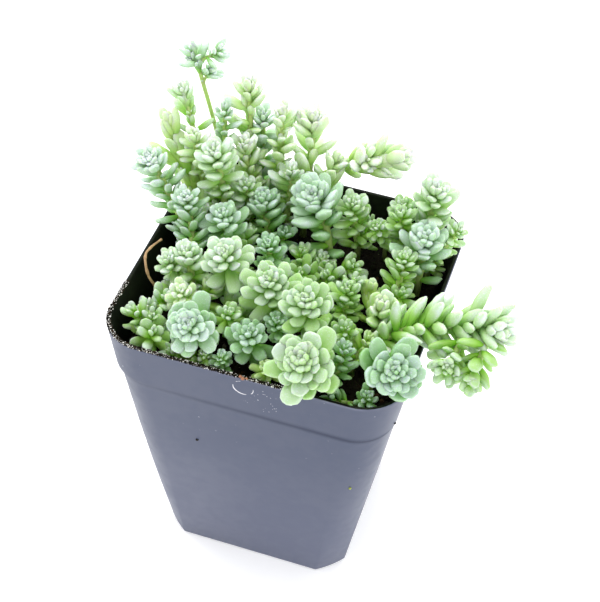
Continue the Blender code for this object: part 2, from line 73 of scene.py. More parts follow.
POT_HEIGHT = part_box("pot")[1].z
RIM_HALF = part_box("pot")[1].x
RIM_CORNER = 9.6 * MM
BAND_FOOT = POT_HEIGHT - 11.2 * MM
BAND_FOOT_HALF = 30.4 * MM
BODY_TOP = BAND_FOOT - 1.9 * MM
BODY_HALF = 29.7 * MM
BODY_CORNER = 8.4 * MM
BASE_HALF = 21.5 * MM
BASE_CORNER = 5.4 * MM
BASE_CHAMFER = 0.8
CHAMFER_FADE = 3
BODY_BREAKS = (0.06, 0.12, 0.2, 0.3, 0.44, 0.66)
BASE_ROUND = 0.5 * MM
SHOULDER_ROUND = 0.5 * MM
BAND_ROUND = 0.45 * MM
RIM_ROUND = 0.35 * MM
MOUTH_ROUND = 0.3 * MM
INNER_ROUND = 0.4 * MM
FLOOR_ROUND = 0.6 * MM
RUBBED_EDGE = 0.5 * MM
SHARP_EDGE = math.radians(40)
CREASE = BAND_FOOT - 0.9 * MM
CREASE_REACH = 1.5 * MM
CREASE_START = -12.0 * MM
CREASE_FULL = 16.0 * MM
CREASE_LEAST = 0.35
LIP_BEVEL = 0.2 * MM
LEVEL_LEAST = 0.5
WALL = 0.9 * MM
FLOOR = 1.2 * MM
CAP_MARGIN = 3.0 * MM
DRAIN_OFFSET = 9.5 * MM
DRAIN_RADIUS = 3.0 * MM
DRAIN_SIDES = 32
CORNER_STEPS = 12
ROUND_STEPS = 4
EDGE_SUPPORT = 0.25 * MM
QUARTERS = ((1, -1), (1, 1), (-1, 1), (-1, -1))


def between(value, low, high, at_low, at_high):
    """The value on a straight line through two ends."""
    return at_low + (at_high - at_low) * (value - low) / (high - low)


def outer_shape(height):
    """Half width, corner radius and corner chamfer of the pot's outside at a height."""
    if height < BODY_TOP:
        half = between(height, 0, BODY_TOP, BASE_HALF, BODY_HALF)
        corner = between(height, 0, BODY_TOP, BASE_CORNER, BODY_CORNER)
        return half, corner, BASE_CHAMFER * (1 - height / BODY_TOP)**CHAMFER_FADE
    if height < BAND_FOOT:
        return between(height, BODY_TOP, BAND_FOOT, BODY_HALF, BAND_FOOT_HALF), BODY_CORNER, 0.0
    half = between(height, BAND_FOOT, POT_HEIGHT, BAND_FOOT_HALF, RIM_HALF)
    return half, between(height, BAND_FOOT, POT_HEIGHT, BODY_CORNER, RIM_CORNER), 0.0


def pot_ring(half, height):
    """A square outline with rounded corners, which flatten towards a chamfer near the base."""
    outer_half, outer_corner, chamfer = outer_shape(height)
    corner = outer_corner - (outer_half - half)
    outline = []
    for turn, quarter in enumerate(QUARTERS):
        middle = Vector((*quarter, 0)) * (half - corner)
        arc = []
        for step in range(CORNER_STEPS + 1):
            angle = math.radians(90 * turn - 90 + 90 * step / CORNER_STEPS)
            arc.append(middle + Vector((math.cos(angle), math.sin(angle), 0)) * corner)
        for step, point in enumerate(arc):
            chord = arc[0].lerp(arc[-1], step / CORNER_STEPS)
            point = point.lerp(chord, chamfer)
            outline.append(Vector((point.x, point.y, height)))
    return outline


def rounded_profile(corners):
    """Half widths and heights along a wall's section; each corner says its rounding radius."""
    path = []
    for index, (half, height, radius) in enumerate(corners):
        here = Vector((half, height))
        if not radius:
            path.append(here)
            continue
        back = (Vector(corners[index - 1][:2]) - here).normalized()
        onward = (Vector(corners[index + 1][:2]) - here).normalized()
        path.append(here + back * (radius + EDGE_SUPPORT))
        for step in range(ROUND_STEPS + 1):
            share = step / ROUND_STEPS
            start = here + back * radius * (1 - share)
            end = here + onward * radius * share
            path.append(start.lerp(end, share))
        path.append(here + onward * (radius + EDGE_SUPPORT))
    return path


def band_faces(low, sides):
    """The faces between two rings of points, the first of which starts at the point low."""
    turns = [(side, (side + 1) % sides) for side in range(sides)]
    return [(low + side, low + after, low + sides + after, low + sides + side) for side, after in turns]


def loft(rings):
    """A closed mesh through rings of equal size, which run anticlockwise seen from the last one."""
    sides = len(rings[0])
    points = [point for ring in rings for point in ring]
    faces = [tuple(reversed(range(sides)))]
    for ring in range(len(rings) - 1):
        faces.extend(band_faces(ring * sides, sides))
    faces.append(tuple(range(len(points) - sides, len(points))))
    return points, faces


def new_piece(name, points, faces, links=()):
    mesh = bpy.data.meshes.new(name)
    mesh.from_pydata([tuple(point) for point in points], links, faces)
    mesh.update()
    piece = bpy.data.objects.new(name, mesh)
    bpy.context.scene.collection.objects.link(piece)
    return piece


def settle(piece):
    """Turns what a piece's modifiers make into its plain mesh."""
    graph = bpy.context.evaluated_depsgraph_get()
    ready = piece.evaluated_get(graph)
    mesh = bpy.data.meshes.new_from_object(ready, preserve_all_data_layers=True, depsgraph=graph)
    piece.modifiers.clear()
    piece.data = mesh
    mesh.name = piece.name


def store(mesh, name, values):
    """Keeps a number for each point of a mesh under a name that its material reads."""
    layer = mesh.attributes.new(name, "FLOAT", "POINT")
    layer.data.foreach_set("value", values)


def add(tree, kind, inputs=None, **settings):
    """Adds a node. Each input is linked if it is given a socket, and set if it is given a value."""
    made = tree.nodes.new(kind)
    for key, value in settings.items():
        setattr(made, key, value)
    for key, value in (inputs or {}).items():
        if isinstance(value, bpy.types.NodeSocket):
            tree.links.new(value, made.inputs[key])
        else:
            made.inputs[key].default_value = value
    return made


def mixed(tree, share, first, second):
    """A colour mixed from two; the share is of the second."""
    return add(tree, "ShaderNodeMix", {0: share, 6: first, 7: second}, data_type="RGBA").outputs[2]


def blended(tree, share, first, second):
    """A value mixed from two; the share is of the second."""
    return add(tree, "ShaderNodeMix", {0: share, 2: first, 3: second}).outputs[0]


def ramp(tree, value, low, high, at_low=0.0, at_high=1.0):
    """A value mapped smoothly from one range to another."""
    sockets = {0: value, 1: low, 2: high, 3: at_low, 4: at_high}
    return add(tree, "ShaderNodeMapRange", sockets, interpolation_type="SMOOTHSTEP").outputs[0]


def maths(tree, operation, first, second=0.0):
    return add(tree, "ShaderNodeMath", {0: first, 1: second}, operation=operation).outputs[0]


def times(tree, first, second):
    return maths(tree, "MULTIPLY", first, second)


def vector_maths(tree, operation, inputs):
    return add(tree, "ShaderNodeVectorMath", inputs, operation=operation).outputs


def upward(tree, vector):
    """A vector's share along Z."""
    return add(tree, "ShaderNodeSeparateXYZ", {0: vector}).outputs[2]


def attribute(tree, name):
    return add(tree, "ShaderNodeAttribute", attribute_name=name).outputs["Fac"]


def new_group(name, kind, inputs, outputs):
    """A node group with named inputs, each with its own value, and named outputs."""
    group = bpy.data.node_groups.new(name, kind)
    for label, (socket_type, value) in inputs.items():
        socket = group.interface.new_socket(label, in_out="INPUT", socket_type="NodeSocket" + socket_type)
        if value is not None:
            socket.default_value = value
    for label, socket_type in outputs.items():
        group.interface.new_socket(label, in_out="OUTPUT", socket_type="NodeSocket" + socket_type)
    return group, group.nodes.new("NodeGroupInput").outputs, group.nodes.new("NodeGroupOutput")


SPECK_CORE = 0.6
FINE_SHARE = 0.35


def make_specks_group():
    """Scattered small dots, such as dust or grit. The share of cells that hold one is an input."""
    sizes = {
        "Vector": ("Vector", None),
        "Scale": ("Float", 500.0),
        "Share": ("Float", 0.2),
        "Size": ("Float", 0.3),
    }
    group, given, result = new_group("specks", "ShaderNodeTree", sizes, {"Mask": "Float"})
    cells = add(group, "ShaderNodeTexVoronoi", {"Vector": given["Vector"], "Scale": given["Scale"]})
    draw = add(group, "ShaderNodeSeparateColor", {0: cells.outputs["Color"]})
    chosen = maths(group, "LESS_THAN", draw.outputs[0], given["Share"])
    core = times(group, given["Size"], SPECK_CORE)
    dot = ramp(group, cells.outputs["Distance"], core, given["Size"], 1.0, 0.0)
    group.links.new(times(group, dot, chosen), result.inputs["Mask"])
    return group


def noisy(tree, scale, detail, place=None):
    """Smooth noise over a piece: its value and its colour."""
    inputs = {"Scale": scale, "Detail": detail}
    if place is not None:
        inputs["Vector"] = place
    return add(tree, "ShaderNodeTexNoise", inputs).outputs


def make_mottle_group():
    """Uneven tone in two sizes of blotch, from 0 to 1, and a fine height for a bump."""
    sizes = {"Vector": ("Vector", None), "Scale": ("Float", 100.0), "Fine": ("Float", 8.0)}
    group, given, result = new_group("mottle", "ShaderNodeTree", sizes, {"Tone": "Float", "Height": "Float"})
    broad = noisy(group, given["Scale"], detail=3.0, place=given["Vector"])
    fine = noisy(group, times(group, given["Scale"], given["Fine"]), detail=2.0, place=given["Vector"])
    both = blended(group, FINE_SHARE, broad[0], fine[0])
    group.links.new(ramp(group, both, 0.3, 0.7), result.inputs["Tone"])
    group.links.new(fine[0], result.inputs["Height"])
    return group


SPECKS = make_specks_group()
MOTTLE = make_mottle_group()


def specked(tree, place, scale, share, size):
    """A mask of small dots over a piece."""
    inputs = {"Vector": place, "Scale": scale, "Share": share, "Size": size}
    return add(tree, "ShaderNodeGroup", inputs, node_tree=SPECKS).outputs["Mask"]


def mottled(tree, place, scale, fine):
    """Blotches over a piece: their Tone, and a fine Height."""
    inputs = {"Vector": place, "Scale": scale, "Fine": fine}
    return add(tree, "ShaderNodeGroup", inputs, node_tree=MOTTLE).outputs


def new_material(name, roughness):
    """A material's tree, its shader, and the object's own coordinates in metres."""
    made = bpy.data.materials.new(name)
    made.use_nodes = True
    tree = made.node_tree
    shader = tree.nodes["Principled BSDF"]
    shader.inputs["Roughness"].default_value = roughness
    return made, tree, shader, add(tree, "ShaderNodeTexCoord").outputs["Object"]


def finish(tree, shader, colour, height, strength, depth):
    """Gives a shader its colour, and a fine bump of a strength and a depth."""
    tree.links.new(colour, shader.inputs["Base Color"])
    bump = add(tree, "ShaderNodeBump", {"Height": height, "Strength": strength, "Distance": depth})
    tree.links.new(bump.outputs[0], shader.inputs["Normal"])


# The outside's slate: partly dust, partly painted reflection of the bright surround on black plastic.
SLATE = (0.043, 0.0565, 0.104, 1.0)
SLATE_DARK = (0.039, 0.0515, 0.098, 1.0)
# The colour of the painted shade in the crease under the band.
SLATE_CREASE_SHADE = (0.023, 0.03, 0.058, 1.0)
# Pale dust on rubbed edges, and also the painted fill light low on the wall.
DUST_AND_FILL_LIGHT = (0.2, 0.21, 0.29, 1.0)
# Near-black painted shade for the inside of the pot and the top of its lip.
INNER_SHADE_BLACK = (0.004, 0.006, 0.003, 1.0)
INNER_SHADE_SMEAR = (0.012, 0.016, 0.008, 1.0)
DUST = (0.75, 0.75, 0.78, 1.0)
SCUFF_PLACE = (0.4 * MM, -31.6 * MM, 66.9 * MM)
SCUFF_RADIUS = 2.15 * MM
SCUFF_HEAVY = (-0.6, 0.0, -0.8)
GRAZE_PLACE = (4.6 * MM, -31.2 * MM, 63.8 * MM)
GRAZE_REACH = 5.0 * MM
SCUFF_THIN = 0.1 * MM
SCUFF_THICK = 0.24 * MM
# The height where the painted fill light on the lower wall ends.
BASE_FILL_RISE = 62.0 * MM
DUST_START = 40.0 * MM


def far_from(tree, place, centre):
    """How far the surface lies from a point, and the way there."""
    offset = vector_maths(tree, "SUBTRACT", {0: place, 1: centre})[0]
    return vector_maths(tree, "LENGTH", {0: offset})["Value"], offset


def make_pot_material():
    made, tree, shader, place = new_material("pot_plastic", roughness=0.42)
    clouds = mottled(tree, place, scale=45.0, fine=9.0)
    height = upward(tree, place)
    crease = attribute(tree, "crease")
    colour = mixed(tree, clouds["Tone"], SLATE_DARK, SLATE)
    # Painted fill light: the wall is painted lighter towards the base, against the shade near the floor.
    colour = mixed(tree, ramp(tree, height, 0.0, BASE_FILL_RISE, 0.26, 0.0), colour, DUST_AND_FILL_LIGHT)
    # Painted shade darkens the crease under the band.
    colour = mixed(tree, crease, colour, SLATE_CREASE_SHADE)
    colour = mixed(tree, times(tree, attribute(tree, "edge"), clouds["Tone"]), colour, DUST_AND_FILL_LIGHT)
    patchy = times(tree, ramp(tree, clouds["Tone"], 0.55, 0.9), ramp(tree, height, DUST_START, POT_HEIGHT))
    dust = specked(tree, place, scale=1100.0, share=0.06, size=0.3)
    colour = mixed(tree, times(tree, dust, patchy), colour, DUST)
    grazed = ramp(tree, far_from(tree, place, GRAZE_PLACE)[0], GRAZE_REACH / 3, GRAZE_REACH, 0.7, 0.0)
    scratches = specked(tree, place, scale=2600.0, share=0.12, size=0.4)
    colour = mixed(tree, times(tree, scratches, grazed), colour, DUST)
    colour = mixed(tree, scuff_mask(tree, place), colour, DUST)
    finish(tree, shader, colour, clouds["Height"], strength=0.12, depth=0.05 * MM)
    polish = ramp(tree, clouds["Tone"], 0.0, 1.0, 0.36, 0.5)
    tree.links.new(blended(tree, crease, polish, 1.0), shader.inputs["Roughness"])
    return made


def scuff_mask(tree, place):
    """A broken ring scraped into the band, heavier at its lower left."""
    distance, offset = far_from(tree, place, SCUFF_PLACE)
    lower = vector_maths(tree, "DOT_PRODUCT", {0: offset, 1: SCUFF_HEAVY})["Value"]
    heavy = ramp(tree, lower, 1.3 * MM, SCUFF_RADIUS)
    off_ring = maths(tree, "ABSOLUTE", maths(tree, "SUBTRACT", distance, SCUFF_RADIUS))
    ring = ramp(tree, off_ring, 0.03 * MM, blended(tree, heavy, SCUFF_THIN, SCUFF_THICK), 1.0, 0.0)
    broken = maths(tree, "ADD", noisy(tree, scale=900.0, detail=1.0, place=place)[0], times(tree, heavy, 0.2))
    return times(tree, ring, ramp(tree, broken, 0.46, 0.54))


def make_shaded_wall_material():
    """The inside of the pot and the top of its lip, painted near-black as painted shade, with uneven smears.
    """
    made, tree, shader, place = new_material("pot_plastic_damp", roughness=0.7)
    smears = mottled(tree, place, scale=160.0, fine=7.0)
    colour = mixed(tree, smears["Tone"], INNER_SHADE_BLACK, INNER_SHADE_SMEAR)
    finish(tree, shader, colour, smears["Height"], strength=0.3, depth=0.05 * MM)
    shader.inputs["Specular IOR Level"].default_value = 0.15
    return made


def edge_wear(height):
    """The rim and the base are rubbed pale."""
    return max(0.0, 1.0 - min(abs(height - POT_HEIGHT), abs(height)) / RUBBED_EDGE)


def painted_crease_shade(place):
    """Painted shade in the crease under the band, darker towards the right."""
    share = min(1.0, max(CREASE_LEAST, between(place.x, CREASE_START, CREASE_FULL, 0.0, 1.0)))
    return share * max(0.0, 1.0 - abs(place.z - CREASE) / CREASE_REACH)


def make_pot():
    floor_half = outer_shape(FLOOR)[0] - WALL
    breaks = [BODY_TOP * share for share in BODY_BREAKS]
    section = rounded_profile([
        (BASE_HALF - CAP_MARGIN, 0.0, 0.0),
        (BASE_HALF, 0.0, BASE_ROUND),
        *[(outer_shape(height)[0], height, 0.0) for height in breaks],
        (BODY_HALF, BODY_TOP, SHOULDER_ROUND),
        (BAND_FOOT_HALF, BAND_FOOT, BAND_ROUND),
        (RIM_HALF, POT_HEIGHT, RIM_ROUND),
        (RIM_HALF - WALL, POT_HEIGHT, MOUTH_ROUND),
        (BAND_FOOT_HALF - WALL, BAND_FOOT + WALL / 2, INNER_ROUND),
        (BODY_HALF - WALL, BODY_TOP, INNER_ROUND),
        *[(outer_shape(height)[0] - WALL, height, 0.0) for height in reversed(breaks)],
        (floor_half, FLOOR, FLOOR_ROUND),
        (floor_half - CAP_MARGIN, FLOOR, 0.0),
    ])
    pot = new_piece("nursery_pot", *loft([pot_ring(half, height) for half, height in section]))
    drills = []
    outline = []
    for side in range(DRAIN_SIDES):
        angle = 2 * math.pi * side / DRAIN_SIDES
        outline.append(Vector((DRAIN_RADIUS * math.cos(angle), DRAIN_RADIUS * math.sin(angle), 0)))
    for quarter in QUARTERS:
        middle = Vector((*quarter, 0)) * DRAIN_OFFSET
        ends = [middle + Vector((0, 0, height)) for height in (-FLOOR, 2 * FLOOR)]
        drill = new_piece("drain_drill", *loft([[end + point for point in outline] for end in ends]))
        drills.append(drill)
        hole = pot.modifiers.new("drain hole", "BOOLEAN")
        hole.operation = "DIFFERENCE"
        hole.object = drill
    settle(pot)
    for drill in drills:
        bpy.data.objects.remove(drill)
    store(pot.data, "edge", [edge_wear(vertex.co.z) for vertex in pot.data.vertices])
    store(pot.data, "crease", [painted_crease_shade(vertex.co) for vertex in pot.data.vertices])
    pot.data.materials.clear()
    pot.data.materials.append(make_pot_material())
    pot.data.materials.append(make_shaded_wall_material())
    # The inner walls and the lip's top take the painted-shade material.
    for face in pot.data.polygons:
        height = min(face.center.z, POT_HEIGHT - MM / 100)
        half, corner = outer_shape(max(height, 0.0))[:2]
        inward = face.normal.x * face.center.x + face.normal.y * face.center.y < 0
        level = face.normal.z > LEVEL_LEAST and pot_depth(face.center, half, corner) > LIP_BEVEL
        face.material_index = 1 if height > FLOOR / 2 and (inward or level) else 0
    pot.data.shade_smooth()
    pot.data.set_sharp_from_angle(angle=SHARP_EDGE)
    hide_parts("pot")
    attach(pot, "root")


def pot_depth(point, half, corner):
    """How far a point lies inside the rounded square of a half width and corner radius."""
    across = abs(point.x) - (half - corner)
    along = abs(point.y) - (half - corner)
    if across > 0 and along > 0:
        return corner - math.hypot(across, along)
    return half - max(abs(point.x), abs(point.y))


make_pot()


# The soil: dark damp peat with grit, bark bits and a few pale grains, filled in loose and firmed.
# It takes the inner shape of the pot, and its crumbs also cling to the pot's rim.

SOIL_TOP = 61.5 * MM
SOIL_GAP = 0.3 * MM
SOIL_POINTS = 176
SOIL_RINGS = 34
SOIL_FIRST_RING = 0.3
SOIL_CENTRE = 0.5
SOIL_SLUMP = 0.6 * MM
SLUMP_CURVE = 6
LUMP_SIZES = ((5.0 * MM, 0.75 * MM), (1.7 * MM, 0.4 * MM), (0.7 * MM, 0.16 * MM))
CRUMB_SHAPES = 4
CRUMB_SIDES = 7
CRUMB_RINGS = 4
CRUMB_ANGULARITY = (0.75, 1.2)
CRUMB_FLATNESS = (0.6, 0.8)
FULL_TURN = (6.3, 6.3, 6.3)
MOSTLY_SMALL = 2.5
SIZE_SEED = 5
TONE_SEED = 9
PEAT = (0.005, 0.005, 0.003, 1.0)
PEAT_LIGHT = (0.016, 0.013, 0.007, 1.0)
BARK = (0.055, 0.03, 0.014, 1.0)
GRIT = (0.16, 0.14, 0.1, 1.0)


def resampled(outline, count):
    """Evenly spaced points round a closed outline."""
    closed = outline + [outline[0]]
    lengths = [0.0]
    for before, after in zip(closed, closed[1:]):
        lengths.append(lengths[-1] + (after - before).length)
    points = []
    index = 0
    for step in range(count):
        target = lengths[-1] * step / count
        while lengths[index + 1] < target:
            index += 1
        share = (target - lengths[index]) / max(lengths[index + 1] - lengths[index], 1e-9)
        points.append(closed[index].lerp(closed[index + 1], share))
    return points


def soil_lump(x, y):
    """Height of the soil's surface above its mean level at a place."""
    return sum(depth * noise.noise(Vector((x / size, y / size, 0.5))) for size, depth in LUMP_SIZES)


def make_crumb_shapes():
    """Small angular lumps of a few dozen faces, in a collection of their own."""
    shapes = bpy.data.collections.new("crumb_shapes")
    for number in range(CRUMB_SHAPES):
        draw = random.Random(number)
        form = bmesh.new()
        bmesh.ops.create_uvsphere(form, u_segments=CRUMB_SIDES, v_segments=CRUMB_RINGS, radius=0.5)
        for vertex in form.verts:
            vertex.co *= draw.uniform(*CRUMB_ANGULARITY)
            vertex.co.z *= draw.uniform(*CRUMB_FLATNESS)
        mesh = bpy.data.meshes.new("crumb")
        form.to_mesh(mesh)
        form.free()
        shapes.objects.link(bpy.data.objects.new("crumb", mesh))
    return shapes


def named(tree, name, data_type="FLOAT"):
    reader = add(tree, "GeometryNodeInputNamedAttribute", {"Name": name}, data_type=data_type)
    return reader.outputs["Attribute"]


def random_share(tree, seed):
    """A random number from 0 to 1 for each copy."""
    return add(tree, "FunctionNodeRandomValue", {2: 0.0, 3: 1.0, 8: seed}, data_type="FLOAT").outputs[1]


def strewn(tree, points, shapes, values):
    """A copy of one of a collection's shapes on each point."""
    source = {"Collection": shapes, "Separate Children": True, "Reset Children": True}
    shape = add(tree, "GeometryNodeCollectionInfo", source).outputs[0]
    inputs = {"Points": points, "Instance": shape, "Pick Instance": True, **values}
    return add(tree, "GeometryNodeInstanceOnPoints", inputs).outputs[0]


def dress(tree, geometry, material, result):
    """Ends a tree: makes its copies real and gives them their material."""
    real = add(tree, "GeometryNodeRealizeInstances", {0: geometry})
    dressed = add(tree, "GeometryNodeSetMaterial", {0: real.outputs[0], 2: material})
    tree.links.new(dressed.outputs[0], result.inputs["Geometry"])
    return tree


def make_scatter_tree():
    """Turned and sized copies of small shapes over a surface, each with a tone of its own."""
    sizes = {
        "Surface": ("Geometry", None),
        "Shapes": ("Collection", None),
        "Spacing": ("Float", 1.0 * MM),
        "Density": ("Float", 100000.0),
        "Smallest": ("Float", 0.4 * MM),
        "Largest": ("Float", 1.4 * MM),
        "Steepest": ("Float", 0.5),
        "Seed": ("Int", 1),
        "Keep surface": ("Bool", True),
        "Material": ("Material", None),
    }
    tree, given, result = new_group("scatter_crumbs", "GeometryNodeTree", sizes, {"Geometry": "Geometry"})
    lie = upward(tree, add(tree, "GeometryNodeInputNormal").outputs[0])
    points = add(tree, "GeometryNodeDistributePointsOnFaces", {
        "Mesh": given["Surface"],
        "Selection": add(tree, "FunctionNodeCompare", {0: lie, 1: given["Steepest"]}).outputs[0],
        "Distance Min": given["Spacing"],
        "Density Max": given["Density"],
        "Seed": given["Seed"],
    }, distribute_method="POISSON")
    turn = add(tree, "FunctionNodeRandomValue", {1: FULL_TURN, 8: given["Seed"]}, data_type="FLOAT_VECTOR")
    skewed = maths(tree, "POWER", random_share(tree, SIZE_SEED), MOSTLY_SMALL)
    size = add(tree, "ShaderNodeMapRange", {0: skewed, 3: given["Smallest"], 4: given["Largest"]}).outputs[0]
    values = {"Rotation": turn.outputs[0], "Scale": size}
    placed = strewn(tree, points.outputs["Points"], given["Shapes"], values)
    tones = {"Geometry": placed, "Name": "tone", "Value": random_share(tree, TONE_SEED)}
    toned = add(tree, "GeometryNodeStoreNamedAttribute", tones, domain="INSTANCE")
    surface = {"Switch": given["Keep surface"], "True": given["Surface"]}
    kept = add(tree, "GeometryNodeSwitch", surface, input_type="GEOMETRY")
    joined = add(tree, "GeometryNodeJoinGeometry", {0: toned.outputs[0]})
    tree.links.new(kept.outputs[0], joined.inputs[0])
    return dress(tree, joined.outputs[0], given["Material"], result)


def grow(piece, tree, values):
    """Adds a Geometry Nodes tree to a piece, sets its named inputs and makes the result plain mesh."""
    modifier = piece.modifiers.new(tree.name, "NODES")
    modifier.node_group = tree
    for item in tree.interface.items_tree:
        if item.in_out == "INPUT" and item.name in values:
            modifier[item.identifier] = values[item.name]
    settle(piece)


def make_soil_material(name, bark_from, grit_from, grit_colour):
    """Peat with shares of bark bits and pale grit, which the crumbs' own tones pick."""
    made, tree, shader, place = new_material(name, roughness=0.9)
    tone = attribute(tree, "tone")
    clumps = mottled(tree, place, scale=350.0, fine=6.0)
    colour = mixed(tree, clumps["Tone"], PEAT, PEAT_LIGHT)
    colour = mixed(tree, ramp(tree, tone, bark_from, bark_from + 0.02), colour, BARK)
    colour = mixed(tree, ramp(tree, tone, grit_from, grit_from + 0.01), colour, grit_colour)
    fibres = specked(tree, place, scale=2200.0, share=0.03, size=0.35)
    colour = mixed(tree, times(tree, fibres, 0.5), colour, BARK)
    finish(tree, shader, colour, clumps["Height"], strength=0.7, depth=0.25 * MM)
    shader.inputs["Specular IOR Level"].default_value = 0.1
    return made


SOIL_MATERIAL = make_soil_material("soil", bark_from=0.88, grit_from=0.97, grit_colour=GRIT)
CRUMBS = make_crumb_shapes()
SCATTER = make_scatter_tree()


def make_soil():
    foot_height = FLOOR + SOIL_GAP
    foot_half = outer_shape(foot_height)[0] - WALL - SOIL_GAP
    shoulder_height = BODY_TOP - SOIL_GAP
    shoulder_half = outer_shape(shoulder_height)[0] - WALL - SOIL_GAP
    edge = resampled(pot_ring(shoulder_half, shoulder_height), SOIL_POINTS)
    rings = [resampled(pot_ring(foot_half, foot_height), SOIL_POINTS), edge]
    for ring in range(SOIL_RINGS):
        share = 1.0 - (ring + SOIL_FIRST_RING) / (SOIL_RINGS + SOIL_CENTRE)
        level = SOIL_TOP - SOIL_SLUMP * share**SLUMP_CURVE
        points = [Vector((p.x * share, p.y * share, 0)) for p in edge]
        rings.append([Vector((p.x, p.y, level + soil_lump(p.x, p.y))) for p in points])
    soil = new_piece("soil_mix", *loft(rings))
    grow(soil, SCATTER, {
        "Shapes": CRUMBS,
        "Spacing": 0.75 * MM,
        "Density": 1200000.0,
        "Smallest": 0.35 * MM,
        "Largest": 1.7 * MM,
        "Seed": 4,
        "Material": SOIL_MATERIAL,
    })
    soil.data.shade_smooth()
    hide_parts("soil")
    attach(soil, "root")


make_soil()


# The crumbs on the rim: specks of the same soil, left on the lip when the pot was filled.
# They lie along the front lip and round its left corner, and a few stray ones stick to the wall.

RIM_STRIP_START = -14.0 * MM
RIM_STRIP_END = 9.0 * MM
RIM_STRIP_HALF = 0.5 * MM
RIM_STRIP_LIFT = 0.02 * MM
SPARKLE = (0.85, 0.84, 0.8, 1.0)

# Each stray crumb: its place in millimetres, its size, and its tone, which picks its colour.
STRAYS = (
    ((0.4, -31.9, 70.0), 0.85, 0.5),
    ((1.1, -31.75, 70.1), 0.6, 0.5),
    ((-0.2, -31.7, 70.1), 0.7, 0.5),
    ((-10.8, -27.6, 42.2), 0.75, 0.1),
    ((23.15, -26.25, 38.7), 0.65, 0.9),
    ((30.35, -24.1, 60.2), 0.65, 0.0),
)
RUST = (0.36, 0.16, 0.09, 1.0)
LEAF_SCRAP = (0.36, 0.42, 0.07, 1.0)


def make_rim_crumbs():
    """A strip along the lip carries the crumbs and is not kept."""
    level = POT_HEIGHT + RIM_STRIP_LIFT
    corner = pot_ring(RIM_HALF - WALL / 2, POT_HEIGHT)[-1 - CORNER_STEPS:]
    middle = [Vector((corner[0].x, RIM_STRIP_START, level))]
    middle.extend(Vector((point.x, point.y, level)) for point in corner)
    middle.append(Vector((RIM_STRIP_END, corner[-1].y, level)))
    points = []
    faces = []
    for index, point in enumerate(middle):
        ahead = middle[min(index + 1, len(middle) - 1)] - middle[max(index - 1, 0)]
        side = Vector((ahead.y, -ahead.x, 0)).normalized() * RIM_STRIP_HALF
        points.extend((point - side, point + side))
        if index:
            last = 2 * index
            faces.append((last - 2, last - 1, last + 1, last))
    crumbs = new_piece("rim_crumbs", points, faces)
    grow(crumbs, SCATTER, {
        "Shapes": CRUMBS,
        "Spacing": 0.1 * MM,
        "Density": 120000000.0,
        "Smallest": 0.12 * MM,
        "Largest": 0.32 * MM,
        "Seed": 12,
        "Keep surface": False,
        "Material": make_soil_material("rim_dirt", bark_from=0.65, grit_from=0.8, grit_colour=SPARKLE),
    })
    crumbs.data.shade_smooth()
    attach(crumbs, "root")


def make_stray_material():
    made, tree, shader, place = new_material("stray_crumbs", roughness=0.85)
    tone = attribute(tree, "tone")
    colour = mixed(tree, mottled(tree, place, scale=1500.0, fine=4.0)["Tone"], PEAT, PEAT_LIGHT)
    colour = mixed(tree, ramp(tree, tone, 0.3, 0.4), colour, RUST)
    colour = mixed(tree, ramp(tree, tone, 0.7, 0.8), colour, LEAF_SCRAP)
    tree.links.new(colour, shader.inputs["Base Color"])
    return made


def make_strays():
    points = []
    faces = []
    tones = []
    shapes = list(CRUMBS.objects)
    for number, (place, size, tone) in enumerate(STRAYS):
        shape = shapes[number % len(shapes)].data
        first = len(points)
        points.extend((Vector(place) + vertex.co * size) * MM for vertex in shape.vertices)
        faces.extend([first + corner for corner in face.vertices] for face in shape.polygons)
        tones.extend([tone] * len(shape.vertices))
    strays = new_piece("stray_crumbs", points, faces)
    store(strays.data, "tone", tones)
    strays.data.shade_smooth()
    strays.data.materials.append(make_stray_material())
    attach(strays, "root")


make_rim_crumbs()
make_strays()


# The dry twig: a dead, shrivelled stem of the plant, dry and straw-coloured, still rooted in the soil.
# It arches out by the left wall, with scars where its leaves fell, and ends in a broken tip.

TWIG_FOOT = 58.0 * MM
TWIG_RADIUS = 0.34 * MM
TWIG_PLACES = (
    (-25.8, -9.0, 63.0),
    (-26.2, -9.6, 64.6),
    (-26.9, -10.4, 66.9),
    (-27.9, -11.0, 69.5),
    (-28.8, -10.4, 71.8),
    (-29.4, -9.2, 73.1),
    (-29.5, -7.8, 73.6),
    (-29.0, -5.0, 73.3),
    (-28.5, -2.4, 72.6),
)
TWIG_SMOOTHING = 5
TWIG_TAPER = 0.35
TWIG_SCARS = 3
SCAR_SWELL = 0.3
SCAR_SHARPNESS = 20
STRAW = (0.6, 0.4, 0.21, 1.0)
STRAW_DARK = (0.3, 0.17, 0.08, 1.0)


